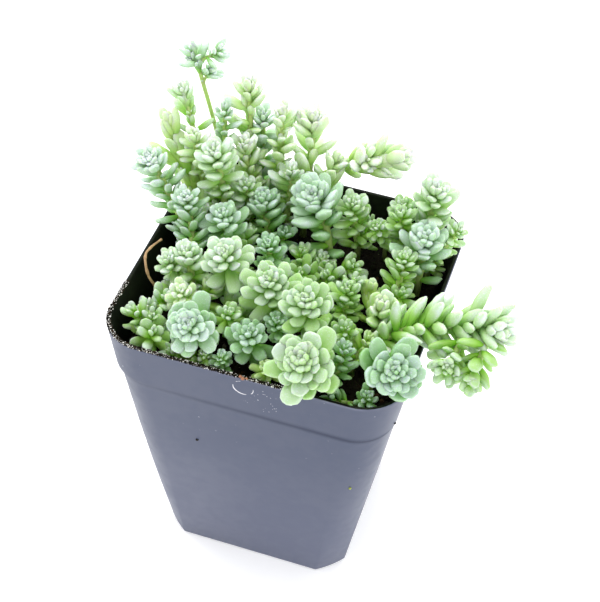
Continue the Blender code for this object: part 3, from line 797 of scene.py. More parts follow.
def make_stalk_tree():
    """A round stalk along each line of a mesh. The line's own girth is its radius."""
    sizes = {
        "Lines": ("Geometry", None),
        "Sides": ("Int", 8),
        "Step": ("Float", 0.4 * MM),
        "Lumpiness": ("Float", 0.05 * MM),
        "Lump size": ("Float", 1.0 * MM),
        "Material": ("Material", None),
    }
    tree, given, result = new_group("stalk", "GeometryNodeTree", sizes, {"Geometry": "Geometry"})
    curve = add(tree, "GeometryNodeMeshToCurve", {"Mesh": given["Lines"]}).outputs[0]
    even = add(tree, "GeometryNodeResampleCurve", {"Curve": curve, "Length": given["Step"]}, mode="LENGTH")
    ring = add(tree, "GeometryNodeCurvePrimitiveCircle", {"Resolution": given["Sides"], "Radius": 1.0})
    skin = add(tree, "GeometryNodeCurveToMesh", {
        "Curve": even.outputs[0],
        "Profile Curve": ring.outputs[0],
        "Scale": named(tree, "girth"),
        "Fill Caps": True,
    })
    rough = noisy(tree, maths(tree, "DIVIDE", 1.0, given["Lump size"]), detail=2.0)[0]
    depth = times(tree, maths(tree, "SUBTRACT", rough, 0.5), given["Lumpiness"])
    normal = add(tree, "GeometryNodeInputNormal").outputs[0]
    move = vector_maths(tree, "SCALE", {0: normal, "Scale": depth})[0]
    moved = add(tree, "GeometryNodeSetPosition", {"Geometry": skin.outputs[0], "Offset": move})
    smooth = add(tree, "GeometryNodeSetShadeSmooth", {"Geometry": moved.outputs[0]})
    return dress(tree, smooth.outputs[0], given["Material"], result)


STALK = make_stalk_tree()


def smooth_route(places, steps):
    """A curve through every place, with steps points from each to the next."""
    padded = [places[0] * 2 - places[1]] + places + [places[-1] * 2 - places[-2]]
    route = []
    for index in range(1, len(padded) - 2):
        before, start, end, after = padded[index - 1:index + 3]
        for step in range(steps):
            t = step / steps
            bend = (end - before) * t + (before * 2 - start * 5 + end * 4 - after) * t**2
            bend += (start * 3 - before - end * 3 + after) * t**3
            route.append(start + bend / 2)
    return route + [places[-1]]


def make_twig_material():
    made, tree, shader, place = new_material("dry_twig", roughness=0.75)
    bark = mottled(tree, place, scale=700.0, fine=5.0)
    colour = mixed(tree, bark["Tone"], STRAW_DARK, STRAW)
    finish(tree, shader, colour, bark["Height"], strength=0.5, depth=0.06 * MM)
    return made


def make_twig():
    places = [Vector(place) * MM for place in TWIG_PLACES]
    places.insert(0, Vector((places[0].x, places[0].y, TWIG_FOOT)))
    route = smooth_route(places, TWIG_SMOOTHING)
    girths = []
    for index in range(len(route)):
        share = index / (len(route) - 1)
        scar = math.cos(share * TWIG_SCARS * 2 * math.pi)**SCAR_SHARPNESS
        girths.append(TWIG_RADIUS * (1.0 - TWIG_TAPER * share + SCAR_SWELL * scar))
    links = [(index, index + 1) for index in range(len(route) - 1)]
    twig = new_piece("dry_twig_stalk", route, [], links)
    store(twig.data, "girth", girths)
    grow(twig, STALK, {
        "Sides": 10,
        "Step": 0.3 * MM,
        "Lumpiness": 0.16 * MM,
        "Lump size": 0.8 * MM,
        "Material": make_twig_material(),
    })
    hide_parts("dry_twig")
    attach(twig, "root")


make_twig()


# The leaves: fat, water-filled paddles, flat above and keeled below, on a narrow foot.
# Green flesh shows through a skin powdered with pale wax, thickest on the tips and the upper faces.

LEAF_BANDS = (0.0, 0.1, 0.24, 0.4, 0.55, 0.68, 0.8, 0.9, 0.966)
LEAF_CORNERS = (0, 40, 90, 140, 180, 225, 270, 315)
LEAF_FULLNESS = 0.94
LEAF_UPPER_SHARE = 0.46
LEAF_THICKEST = 0.5
LEAF_EDGE_POINT = 2.2
FOOT_SWELL = 1.2
TIP_ROUNDING = 0.05
LeafForm = namedtuple("LeafForm", "foot widest width thickness point curl")
PADDLE = 0
PLUMP = 1
LANCE = 2
LEAF_FORMS = (
    LeafForm(foot=0.36, widest=0.64, width=0.44, thickness=0.28, point=2.8, curl=0.12),
    LeafForm(foot=0.46, widest=0.58, width=0.39, thickness=0.33, point=2.9, curl=0.08),
    LeafForm(foot=0.45, widest=0.52, width=0.35, thickness=0.25, point=1.6, curl=0.08),
)


def swell(share, widest, foot, point):
    """Half the breadth of a leaf along its length, from its foot over its widest place to a blunt tip."""
    if share < widest:
        return foot + (1 - foot) * math.sin(share / widest * math.pi / 2)**FOOT_SWELL
    return max(0.0, 1 - ((share - widest) / (1 - widest))**point)**(1 / point + TIP_ROUNDING)


def make_leaf_shapes():
    """One mesh for each form of leaf, one unit long, which grows along +Z with its upper side to +Y."""
    shapes = bpy.data.collections.new("leaf_shapes")
    for number, form in enumerate(LEAF_FORMS):
        points = []
        along = []
        upper = []
        for share in LEAF_BANDS:
            half = swell(share, form.widest, form.foot, form.point) * form.width / 2
            depth = swell(share, LEAF_THICKEST, form.foot, LEAF_EDGE_POINT) * form.thickness
            for corner in LEAF_CORNERS:
                across = math.cos(math.radians(corner))
                rise = math.sin(math.radians(corner))
                over = LEAF_UPPER_SHARE if rise > 0 else 1 - LEAF_UPPER_SHARE
                x = math.copysign(abs(across)**LEAF_FULLNESS, across) * half
                y = math.copysign(abs(rise)**LEAF_FULLNESS, rise) * depth * over
                points.append((x, y + form.curl * share**2, share))
                along.append(share)
                upper.append(rise)
        points.append((0.0, form.curl, 1.0))
        along.append(1.0)
        upper.append(0.0)
        sides = len(LEAF_CORNERS)
        last = len(points) - 1 - sides
        faces = [tuple(reversed(range(sides)))]
        for low in range(0, last, sides):
            faces.extend(band_faces(low, sides))
        faces.extend((last + side, last + (side + 1) % sides, last + sides) for side in range(sides))
        mesh = bpy.data.meshes.new(f"leaf_{number}")
        mesh.from_pydata(points, [], faces)
        store(mesh, "along", along)
        store(mesh, "upper", upper)
        shapes.objects.link(bpy.data.objects.new(mesh.name, mesh))
    return shapes


# Pale colours of fresh, waxy growth, also used as painted light on the brighter-lit back and left stems.
FRESH_AND_LIT_COLOURS = {
    "blue": (0.75, 0.84, 0.83, 1.0),
    "green": (0.77, 0.85, 0.81, 1.0),
    "pale": (0.84, 0.9, 0.86, 1.0),
}
WAX_COLOURS = {
    "blue": (0.5, 0.605, 0.6, 1.0),
    "green": (0.54, 0.62, 0.585, 1.0),
    "pale": (0.61, 0.69, 0.59, 1.0),
}
FLESH_COLOURS = {
    "blue": (0.22, 0.47, 0.11, 1.0),
    "green": (0.31, 0.57, 0.08, 1.0),
    "pale": (0.43, 0.67, 0.12, 1.0),
}
FLESH_BASE = (0.22, 0.54, 0.015, 1.0)
STALK_COLOUR = (0.42, 0.56, 0.18, 1.0)
STALK_FOOT = (0.12, 0.16, 0.04, 1.0)
FLESH_DEPTH = 1.1 * MM
FLESH_SHARE = 0.42
STALK_SHADE = 7.0 * MM


def wax_cover(tree, place, along, age, fresh, blotches):
    """The share of the skin that wax hides: most towards the tip, less on old and worn leaves, and more on
    fresh stems, whose paleness is partly painted light.
    """
    upper = attribute(tree, "upper")
    worn = ramp(tree, fresh, 0.0, 0.8, 1.0, 0.6)
    sunny = ramp(tree, upper, -1.0, 0.3, 0.5, 1.0)
    margin = ramp(tree, maths(tree, "ABSOLUTE", upper), 0.15, 0.9, 1.0, 0.45)
    cover = blended(tree, times(tree, ramp(tree, age, 0.3, 0.6), worn), sunny, margin)
    fading = ramp(tree, times(tree, age, worn), 0.45, 1.0, 1.0, 0.45)
    patchy = ramp(tree, blotches, 0.0, 1.0, 0.8, 1.0)
    wax = times(tree, times(tree, ramp(tree, along, 0.36, 0.86), cover), times(tree, fading, patchy))
    wax = times(tree, wax, ramp(tree, attribute(tree, "seed"), 0.0, 1.0, 0.65, 1.15))
    powder = specked(tree, place, scale=3600.0, share=0.35, size=0.5)
    wax = times(tree, wax, ramp(tree, powder, 0.0, 1.0, 0.78, 1.5))
    return times(tree, wax, ramp(tree, fresh, 0.0, 1.0, 1.0, 1.35))


def make_leaf_material(tint):
    made, tree, shader, place = new_material("leaf_" + tint, roughness=0.52)
    along = attribute(tree, "along")
    age = attribute(tree, "age")
    fresh = attribute(tree, "fresh")
    mottle = mottled(tree, place, scale=420.0, fine=7.0)
    wax = wax_cover(tree, place, along, age, fresh, mottle["Tone"])
    flesh = mixed(tree, ramp(tree, along, 0.05, 0.45), FLESH_BASE, FLESH_COLOURS[tint])
    # Fresh stems are painted paler: partly fresh growth, partly painted light.
    bleached_and_lit = times(tree, times(tree, fresh, ramp(tree, age, 0.4, 0.8, 1.0, 0.15)), 0.35)
    flesh = mixed(tree, bleached_and_lit, flesh, FRESH_AND_LIT_COLOURS[tint])
    bloom = mixed(tree, fresh, WAX_COLOURS[tint], FRESH_AND_LIT_COLOURS[tint])
    shaded = ramp(tree, upward(tree, place), SOIL_TOP, SOIL_TOP + STALK_SHADE, 1.0, 0.0)
    stalk = mixed(tree, shaded, STALK_COLOUR, STALK_FOOT)
    colour = mixed(tree, attribute(tree, "stalk"), mixed(tree, wax, flesh, bloom), stalk)
    finish(tree, shader, colour, mottle["Height"], strength=0.75, depth=0.08 * MM)
    tree.links.new(ramp(tree, wax, 0.0, 1.0, 0.45, 0.72), shader.inputs["Roughness"])
    shader.inputs["Specular IOR Level"].default_value = 0.35
    shader.inputs["Subsurface Weight"].default_value = FLESH_SHARE
    shader.inputs["Subsurface Radius"].default_value = (0.65, 1.0, 0.4)
    shader.inputs["Subsurface Scale"].default_value = FLESH_DEPTH
    return made


LEAF_SHAPES = make_leaf_shapes()


# The leafy stems: soft green stalks of the one plant, rooted in the soil, each with a rosette at its tip.
# The leaves turn a golden angle from one to the next, and open and lengthen away from the bud.

STEM_FOOT = 55.3
STEM_RISE = 63.0
BEND = 0.4
PATH_STEPS = 14
GOLDEN_TURN = math.radians(137.5)
LEAF_START = Vector((0.31, 0.95, 0.05))
HEAD_FULLNESS = 1.65
SMALLEST_HEAD = 9
HEAD_DEPTH = 0.8
HEAD_CURVE = 1.5
BUD_TILT = 8.0
HEAD_TILT = 63.0
LOWEST_TILT = 76.0
BUD_LENGTH = 0.22
OPENING = 0.75
LOWER_STEP = 0.1
LOWER_PLAY = 1.7
LOWER_SHRINK = 0.05
LOWEST_LEAF = 2.0
TILT_PLAY = 10.0
TURN_PLAY = 15.0
SIZE_PLAY = 0.16
LOWER_OPENING = 0.6
HEAD_AGE = 0.5
PLUMP_SHARE = 0.55
LANCE_FROM = 0.6
LEAF_BREADTH = 0.9
BREADTH_PLAY = 0.14
BREADTH_GAIN = 0.06
BUD_GIRTH = 0.45
TAPER_RUN = 4.0
POT_CLEARANCE = 0.1 * MM
SOIL_CLEARANCE = 0.35 * MM
LOOSE_STEP = 0.9
LOOSE_PLAY = 2.0
LEAF_GAP = 0.03
CELL = 9.0
SEATINGS = (
    (0, 0, 1.0), (10, 0, 0.98), (-9, 0, 0.96), (6, 14, 0.95), (6, -14, 0.95), (20, 0, 0.94),
    (-16, 0, 0.9), (30, 0, 0.88), (12, 22, 0.85), (12, -22, 0.85), (42, 0, 0.8), (15, 0, 0.74),
    (35, 12, 0.68), (35, -12, 0.68), (55, 0, 0.6), (20, 0, 0.52),
)

# Each stem: the place of its root, the place and facing of its tip, the length of its largest leaves,
# its radius, the leaves in its head, its colour, how fresh and pale it is, the share of it below the
# head that bears leaves, and how loosely they stand. The paleness is partly painted light, standing
# in for the brighter light on the back and left of the plant.
Stem = namedtuple("Stem", "root tip face leaf radius head tint fresh leafy loose", defaults=(0.0, 1.0, 0.0))
STEMS = {
    "left_high": Stem((-23.5, 3), (-35.4, 8.5, 84.8), (0.05, -0.65, 1), 4.9, 0.8, 20, "blue", 0.8),
    "left_mid": Stem((-21.5, -1.5), (-25.3, 4, 80.5), (0.05, -0.6, 1), 4.3, 0.7, 13, "blue", 0.55),
    "left_back_tall": Stem((-20, 14.5), (-22, 12.5, 87), (-0.1, -0.3, 1), 6.3, 0.8, 16, "green", 0.55),
    "left_inner": Stem((-15, 7), (-17, 3.5, 78.5), (0, -0.3, 1), 5.8, 0.8, 16, "blue", 0.3),
    "middle_blue": Stem((-9, 12.5), (-11.2, 13.5, 76.5), (0, -0.3, 1), 6.2, 0.8, 16, "blue", 0.2),
    "middle_tall": Stem((4.5, 14), (0.2, 13.5, 81), (-0.12, -0.6, 1), 8.3, 0.9, 22, "blue", 0.35),
    "front_left_upper": Stem((-12, -3), (-12.1, -9, 79.5), (-0.1, -0.35, 1), 6.2, 0.85, 20, "green", 0.45),
    "front_middle_upper": Stem((0, -8), (-0.8, -13.8, 80.2), (0, -0.35, 1), 7.0, 0.85, 20, "green", 0.25),
    "middle_small": Stem((-5, 3), (-5.7, 1, 76), (0, -0.2, 1), 4, 0.7, 12, "blue"),
    "front_right_upper": Stem((8, -12), (8.3, -18.3, 82), (0, -0.4, 1), 6.7, 0.85, 20, "green", 0.12),
    "front_large": Stem((12, -22), (12.2, -32.2, 79.8), (-0.05, -0.4, 1), 8.6, 0.9, 32, "green", 0.14),
    "front_left_large": Stem(
        (-14, -20), (-12.7, -27.7, 76.2), (-0.05, -0.5, 1), 7.0, 0.85, 25, "blue", 0.3,
    ),
    "left_pale": Stem((-19, -13), (-18, -18, 75), (0, -0.3, 1), 3.8, 0.7, 10, "pale", 0.6),
    "left_wide": Stem((-19.5, -7.5), (-20.7, -7.5, 76), (-0.1, -0.2, 1), 5.6, 0.8, 16, "green", 0.55),
    "left_edge": Stem((-23.2, -4.8), (-24.6, -8.5, 73.5), (-0.2, -0.2, 1), 4.6, 0.7, 12, "green", 0.6),
    "left_low_back": Stem((-25.4, -16), (-26, -17.8, 67.5), (0, -0.1, 1), 4.9, 0.7, 12, "green", 0.8),
    "left_low_front": Stem((-23, -21.5), (-23.3, -21.5, 66), (0, -0.1, 1), 4.9, 0.7, 12, "green", 0.6),
    "front_open": Stem((-2, -20), (-1, -24.5, 75), (0, -0.3, 1), 5.4, 0.7, 15, "blue"),
    "front_tiny_blue": Stem((-6, -25.5), (-5.3, -28.6, 71), (0, -0.2, 1), 2.6, 0.6, 10, "blue"),
    "front_tiny_green": Stem((-9.5, -25), (-8.9, -28.4, 70), (0, -0.2, 1), 2.3, 0.6, 8, "green"),
    "front_small_blue": Stem((3, -16), (3, -19, 75), (0, -0.3, 1), 3.6, 0.7, 11, "blue"),
    "front_low_pale": Stem((3.5, -24.5), (3.8, -28.2, 70.5), (0, -0.2, 1), 3.2, 0.6, 7, "pale"),
    "corner_large": Stem(
        (23.5, -21), (29.5, -26.8, 77.8), (0.1, -0.8, 1), 8.0, 0.9, 27, "blue", leafy=0.35,
    ),
    "corner_low": Stem((22.8, -25), (25, -27, 69), (0, -0.1, 1), 3.2, 0.6, 10, "blue"),
    "middle_right_low": Stem((13, -4), (13.5, -4, 74), (0, -0.2, 1), 4.6, 0.7, 12, "green"),
    "right_middle": Stem((21.5, 5), (22.5, 7, 76), (0, -0.2, 1), 4.3, 0.7, 11, "green"),
    "right_thin": Stem((15.5, 20.5), (14.3, 14.5, 76), (0, -0.4, 1), 3.2, 0.6, 9, "green", leafy=0.4),
    "right_large": Stem((25, 12.5), (25.2, 12, 78), (0, -0.5, 1), 7.8, 0.85, 19, "blue", 0.4),
    "right_back": Stem((23.5, 21), (25, 21, 84), (0.1, -0.2, 1), 6.6, 0.8, 15, "green", 0.65),
    "right_edge": Stem((26, 17), (31.3, 17.5, 78), (0.3, -0.2, 1), 3.5, 0.7, 9, "green", 0.35),
    "right_back_inner": Stem((18, 24), (18, 21, 78), (0, -0.2, 1), 3.8, 0.7, 10, "green", 0.2),
    "back_pale": Stem((-4, 21.8), (-5.7, 30, 88), (0, -0.1, 1), 6.4, 0.8, 16, "pale", 0.9, loose=0.25),
    "back_small": Stem((-11, 23.5), (-12, 27, 90), (0, -0.1, 1), 4.8, 0.7, 10, "pale", 0.9, 0.7, 0.35),
    "back_blue": Stem((-15.5, 25.5), (-17, 29.5, 86), (0, -0.1, 1), 4.8, 0.7, 10, "blue", 0.85, 0.8, 0.3),
    "back_column": Stem((-19, 24), (-20, 28.5, 94), (-0.1, 0, 1), 5.2, 0.7, 10, "pale", 0.7, 0.9, 0.3),
    "back_left_small": Stem((-21.5, 18.2), (-24, 24, 90), (0, -0.1, 1), 4.2, 0.6, 9, "blue", 0.7, 0.3, 0.4),
    "back_top": Stem(
        (-23.5, 24.5), (-33.8, 31, 98.4), (-0.3, 0.1, 1), 4.4, 0.5, 10, "blue", 0.8, 0.14, 1.0,
    ),
    "back_left_bud": Stem(
        (-25.5, 20.5), (-33.5, 23.5, 93), (-0.2, 0, 1), 4.0, 0.5, 9, "green", 0.8, 0.3, 0.5,
    ),
    "left_upright": Stem((-25.5, 13), (-34.5, 19, 86), (-0.3, 0, 1), 8.0, 0.8, 9, "pale", 0.35, loose=0.3),
    "middle_back": Stem(
        (-7.5, 19.5), (-7.3, 20.7, 80), (0, -0.2, 1), 4.2, 0.7, 11, "green", 0.65, loose=0.5,
    ),
    "right_upright": Stem((20, -4), (21.3, -7, 74.5), (0, -0.2, 1), 6.5, 0.7, 9, "pale", 0.4),
    "right_low_front": Stem((18.5, -15.5), (21, -13.5, 71), (0.1, -0.2, 1), 4.1, 0.7, 8, "pale"),
    "right_low_middle": Stem((15, -9.5), (16, -13.5, 72), (0, -0.2, 1), 3.6, 0.7, 8, "green"),
    "middle_right_back": Stem((9.5, 19), (8, 17, 78.5), (0.1, -0.2, 1), 4.9, 0.8, 12, "green", 0.2),
    "left_back_low": Stem((-15, 17.5), (-15.5, 15, 78), (0, -0.2, 1), 4.7, 0.7, 10, "green", 0.3),
    "back_fill": Stem((-14, 21.5), (-18.5, 21.5, 84), (0, -0.1, 1), 4.8, 0.7, 11, "pale", 0.75, loose=0.3),
    "left_column": Stem((-23.5, 8.5), (-24.5, 7.5, 73.5), (-0.2, -0.3, 1), 4.6, 0.7, 12, "green", 0.6),
    "left_middle_low": Stem((-13, 1), (-13, 8, 71.5), (0, 0.1, 1), 4.6, 0.7, 11, "green"),
    "middle_low": Stem((2, 6), (4.6, 7.5, 69), (0.2, -0.2, 1), 4.8, 0.7, 10, "green"),
    "back_middle_pale": Stem(
        (0.5, 21.5), (0.8, 27, 81), (0.3, 0.1, 1), 5.4, 0.7, 11, "pale", 0.8, loose=0.3,
    ),
    "right_back_low": Stem((19.5, 18), (18.7, 16.5, 79.5), (-0.1, -0.2, 1), 4.2, 0.7, 10, "green"),
    "back_left_fill": Stem(
        (-25, 16.8), (-28.5, 17.5, 86), (-0.1, 0, 1), 5, 0.7, 10, "pale", 0.75, loose=0.3,
    ),
    "front_right_low": Stem((16.5, -21), (18, -20, 73.5), (0.2, -0.1, 1), 3.8, 0.7, 9, "blue"),
    "front_left_fill": Stem((-8.5, -15), (-7, -19.5, 74), (0.2, -0.2, 1), 4.2, 0.7, 10, "green"),
    "right_trailing": Stem(
        (21, -12), (46.6, -11.8, 80.6), (0.75, -0.8, 0.7), 8.0, 0.9, 16, "green", 0.8, loose=-0.42,
    ),
    "back_right_long": Stem(
        (-9, 27), (14.5, 30.4, 83), (1, 0.0, 0.6), 6.2, 0.7, 12, "pale", 0.95, 0.4, 0.3,
    ),
}

# A side branch leaves its stem at a share of the stem's length, leaning along it.
# Its other values are as for a stem.
Branch = namedtuple("Branch", "stem start tip face leaf radius head fresh leafy loose")
BRANCH_LEAN = 0.6
BRANCHES = (
    Branch("right_trailing", 0.70, (38.5, -20.0, 75.6), (0.15, -0.9, 1.0), 5.6, 0.7, 14, 0.1, 0.8, 0.0),
    Branch("right_trailing", 0.88, (43.8, -20.5, 74.0), (0.4, -1.0, 0.8), 5.4, 0.7, 13, 0.0, 0.8, 0.0),
    Branch("back_right_long", 0.72, (7.3, 28.0, 82.3), (0.1, -0.5, 1.0), 6.2, 0.6, 12, 0.95, 0.7, 0.5),
    Branch("back_top", 0.9, (-28.1, 32.0, 99.0), (0.5, 0.0, 1.0), 4.0, 0.4, 9, 0.8, 0.4, 0.6),
    Branch("back_top", 0.84, (-34.2, 30.0, 96.4), (-0.6, -0.6, 1.0), 3.6, 0.4, 9, 0.8, 0.4, 0.6),
    Branch("back_top", 0.78, (-29.6, 30.4, 94.4), (0.4, -0.6, 1.0), 3.6, 0.4, 9, 0.8, 0.4, 0.6),
)
# These stems' lower leaves are long and pointed.
LANCE_LEAVED = ("right_trailing",)
# On these stems the leaves lean out less, by this share.
UPRIGHT = {
    "right_trailing": 0.76,
    "left_upright": 0.4,
    "right_upright": 0.55,
    "back_fill": 0.75,
    "back_column": 0.75,
    "back_small": 0.75,
    "back_pale": 0.8,
    "back_left_bud": 0.6,
    "back_right_long": 0.65,
    "back_middle_pale": 0.75,
    "back_top": 0.8,
}

# A leaf's place: the point it grows from, the ways along its stem and outward there, how far it leans
# from the stem in degrees, its length and form, its age, which grows from the bud down, a random
# share of its own, and its stem's freshness, whose paleness is partly painted light.
LeafPlace = namedtuple("LeafPlace", "root along_stem outward tilt length form age seed fresh")


def bent_path(start, end, rise, face):
    """Points of a cubic curve that leaves start along rise and meets end along face."""
    reach = BEND * (end - start).length
    first = start + rise.normalized() * reach
    second = end - face.normalized() * reach
    points = []
    for step in range(PATH_STEPS + 1):
        share = step / PATH_STEPS
        left = 1 - share
        near = start * left**3 + first * (3 * left**2 * share)
        points.append(near + second * (3 * left * share**2) + end * share**3)
    return points


def measured(path):
    """How far each point of a path lies from its far end, along the path."""
    depths = [0.0]
    for before, after in zip(path[::-1], path[-2::-1]):
        depths.append(depths[-1] + (after - before).length)
    return depths[::-1]


def at_depth(path, depths, depth):
    """The point that lies a depth below a path's far end, and the direction towards that end there."""
    depth = min(max(depth, 0.0), depths[0] - 0.001)
    index = max(i for i in range(len(path) - 1) if depths[i] > depth)
    share = (depths[index] - depth) / (depths[index] - depths[index + 1])
    return path[index].lerp(path[index + 1], share), (path[index + 1] - path[index]).normalized()


def leaf_places(name, path, stem):
    """Where each leaf of a stem grows, from the bud at its tip downwards."""
    draw = random.Random(f"{name} {stem.tip}")
    depths = measured(path)
    head = max(SMALLEST_HEAD, round(stem.head * HEAD_FULLNESS))
    head_depth = HEAD_DEPTH * stem.leaf
    run = max(0.0, (depths[0] - LOWEST_LEAF - head_depth) * stem.leafy)
    lower = round(run / (LOWER_STEP * stem.leaf * (1 + LOOSE_STEP * stem.loose)))
    loose_play = 1 + LOOSE_PLAY * max(0.0, stem.loose)
    places = []
    for rank in range(head + lower):
        if rank < head:
            share = (rank + 0.5) / head
            depth = head_depth * share**HEAD_CURVE
            tilt = BUD_TILT + (HEAD_TILT - BUD_TILT) * share**OPENING
            length = stem.leaf * (BUD_LENGTH + (1 - BUD_LENGTH) * share**OPENING)
            age = HEAD_AGE * share
            play = loose_play
        else:
            share = (rank - head + 1) / lower
            depth = head_depth + run * share
            tilt = HEAD_TILT + (LOWEST_TILT - HEAD_TILT) * share**LOWER_OPENING
            length = stem.leaf * (1.0 - LOWER_SHRINK * share)
            age = HEAD_AGE + (1 - HEAD_AGE) * share
            play = loose_play * LOWER_PLAY
        root, towards_tip = at_depth(path, depths, depth)
        side = towards_tip.cross(LEAF_START).normalized()
        turn = rank * GOLDEN_TURN + math.radians(draw.uniform(-TURN_PLAY, TURN_PLAY)) * play * share
        outward = side * math.cos(turn) + side.cross(towards_tip) * math.sin(turn)
        tilt = tilt * UPRIGHT.get(name, 1.0) + draw.uniform(-TILT_PLAY, TILT_PLAY) * play
        length *= 1 + draw.uniform(-SIZE_PLAY, SIZE_PLAY) * play
        form = PLUMP if rank < head * PLUMP_SHARE else PADDLE
        if name in LANCE_LEAVED and rank >= head * LANCE_FROM:
            form = LANCE
        seed = draw.random()
        places.append(LeafPlace(root, towards_tip, outward, tilt, length, form, age, seed, stem.fresh))
    return places


def leaf_frame(place, lift, turn):
    """The direction of a leaf and of its upper side, lifted towards the tip and turned aside."""
    lean = math.radians(place.tilt - lift)
    aside = place.along_stem.cross(place.outward)
    outward = place.outward * math.cos(math.radians(turn)) + aside * math.sin(math.radians(turn))
    direction = place.along_stem * math.cos(lean) + outward * math.sin(lean)
    return direction, place.along_stem * math.sin(lean) - outward * math.cos(lean)


# A leaf's cage: each ring's share of the leaf's length and of its breadth, and the faces between them.
PROXY_RINGS = ((0.3, 0.72), (0.62, 1.0), (0.88, 0.72))
PROXY_FACES = [(0, 1 + (side + 1) % 4, 1 + side) for side in range(4)]
PROXY_FACES.extend(band_faces(1, 4) + band_faces(5, 4))
PROXY_FACES.extend((9 + side, 9 + (side + 1) % 4, 13) for side in range(4))
LINK_FACES = band_faces(0, 4)


def proxy_points(place, direction, upper, length):
    """A coarse cage round a leaf, for trying whether it has room."""
    form = LEAF_FORMS[place.form]
    side = direction.cross(upper)
    points = [place.root.copy()]
    for share, breadth in PROXY_RINGS:
        middle = place.root + direction * (length * share) + upper * (form.curl * length * share**2)
        half = form.width * breadth * length / 2 + LEAF_GAP
        over = form.thickness * breadth * length * LEAF_UPPER_SHARE + LEAF_GAP
        under = form.thickness * breadth * length * (1 - LEAF_UPPER_SHARE) + LEAF_GAP
        points.extend((middle - side * half, middle - upper * under))
        points.extend((middle + side * half, middle + upper * over))
    points.append(place.root + direction * length + upper * (form.curl * length))
    return points


def cells_round(centre):
    x, y, z = (math.floor(value / CELL) for value in centre)
    return [(x + i, y + j, z + k) for i in (-1, 0, 1) for j in (-1, 0, 1) for k in (-1, 0, 1)]


def take_room(taken, owner, points, faces):
    """Notes what fills a place, under its cell and those round it."""
    centre = sum(points, Vector()) / len(points)
    reach = max((point - centre).length for point in points)
    entry = (owner, centre, reach, BVHTree.FromPolygons([tuple(p) for p in points], faces))
    for cell in cells_round(centre):
        taken.setdefault(cell, []).append(entry)


def clear_of_pot(points):
    """Whether points lie above the soil and all on one side of the pot's wall."""
    within = []
    for point in points:
        if point.z * MM > POT_HEIGHT + POT_CLEARANCE:
            continue
        half, corner = outer_shape(point.z * MM)[:2]
        depth = pot_depth(point * MM, half, corner)
        if -POT_CLEARANCE < depth < WALL + POT_CLEARANCE:
            return False
        within.append(depth > 0)
        if depth > 0 and point.z * MM < SOIL_TOP + SOIL_CLEARANCE:
            return False
    return all(within) or not any(within)


def has_room(taken, owner, points, faces):
    if not clear_of_pot(points[1:]):
        return False
    centre = sum(points, Vector()) / len(points)
    reach = max((point - centre).length for point in points)
    tree = None
    for other, middle, size, barrier in taken.get(tuple(math.floor(value / CELL) for value in centre), ()):
        if other == owner or (middle - centre).length > size + reach:
            continue
        tree = tree or BVHTree.FromPolygons([tuple(p) for p in points], faces)
        if tree.overlap(barrier):
            return False
    return True


def seat(place, owner, taken):
    """A leaf as it has room to grow: its direction, upper side and length, or None."""
    for lift, turn, share in SEATINGS:
        direction, upper = leaf_frame(place, lift, turn)
        length = place.length * share
        points = proxy_points(place, direction, upper, length)
        if has_room(taken, owner, points, PROXY_FACES):
            take_room(taken, owner, points, PROXY_FACES)
            return direction, upper, length
    return None


def link_points(start, end, radius):
    """A square tube round one link of a stalk."""
    ahead = (end - start).normalized()
    side = ahead.orthogonal().normalized()
    ring = (side, ahead.cross(side), -side, -ahead.cross(side))
    return [place + way * radius for place in (start, end) for way in ring]


def block_path(taken, owner, path, radius):
    """Notes the room that a stalk takes, link by link."""
    for start, end in zip(path, path[1:]):
        take_room(taken, owner, link_points(start, end, radius), LINK_FACES)


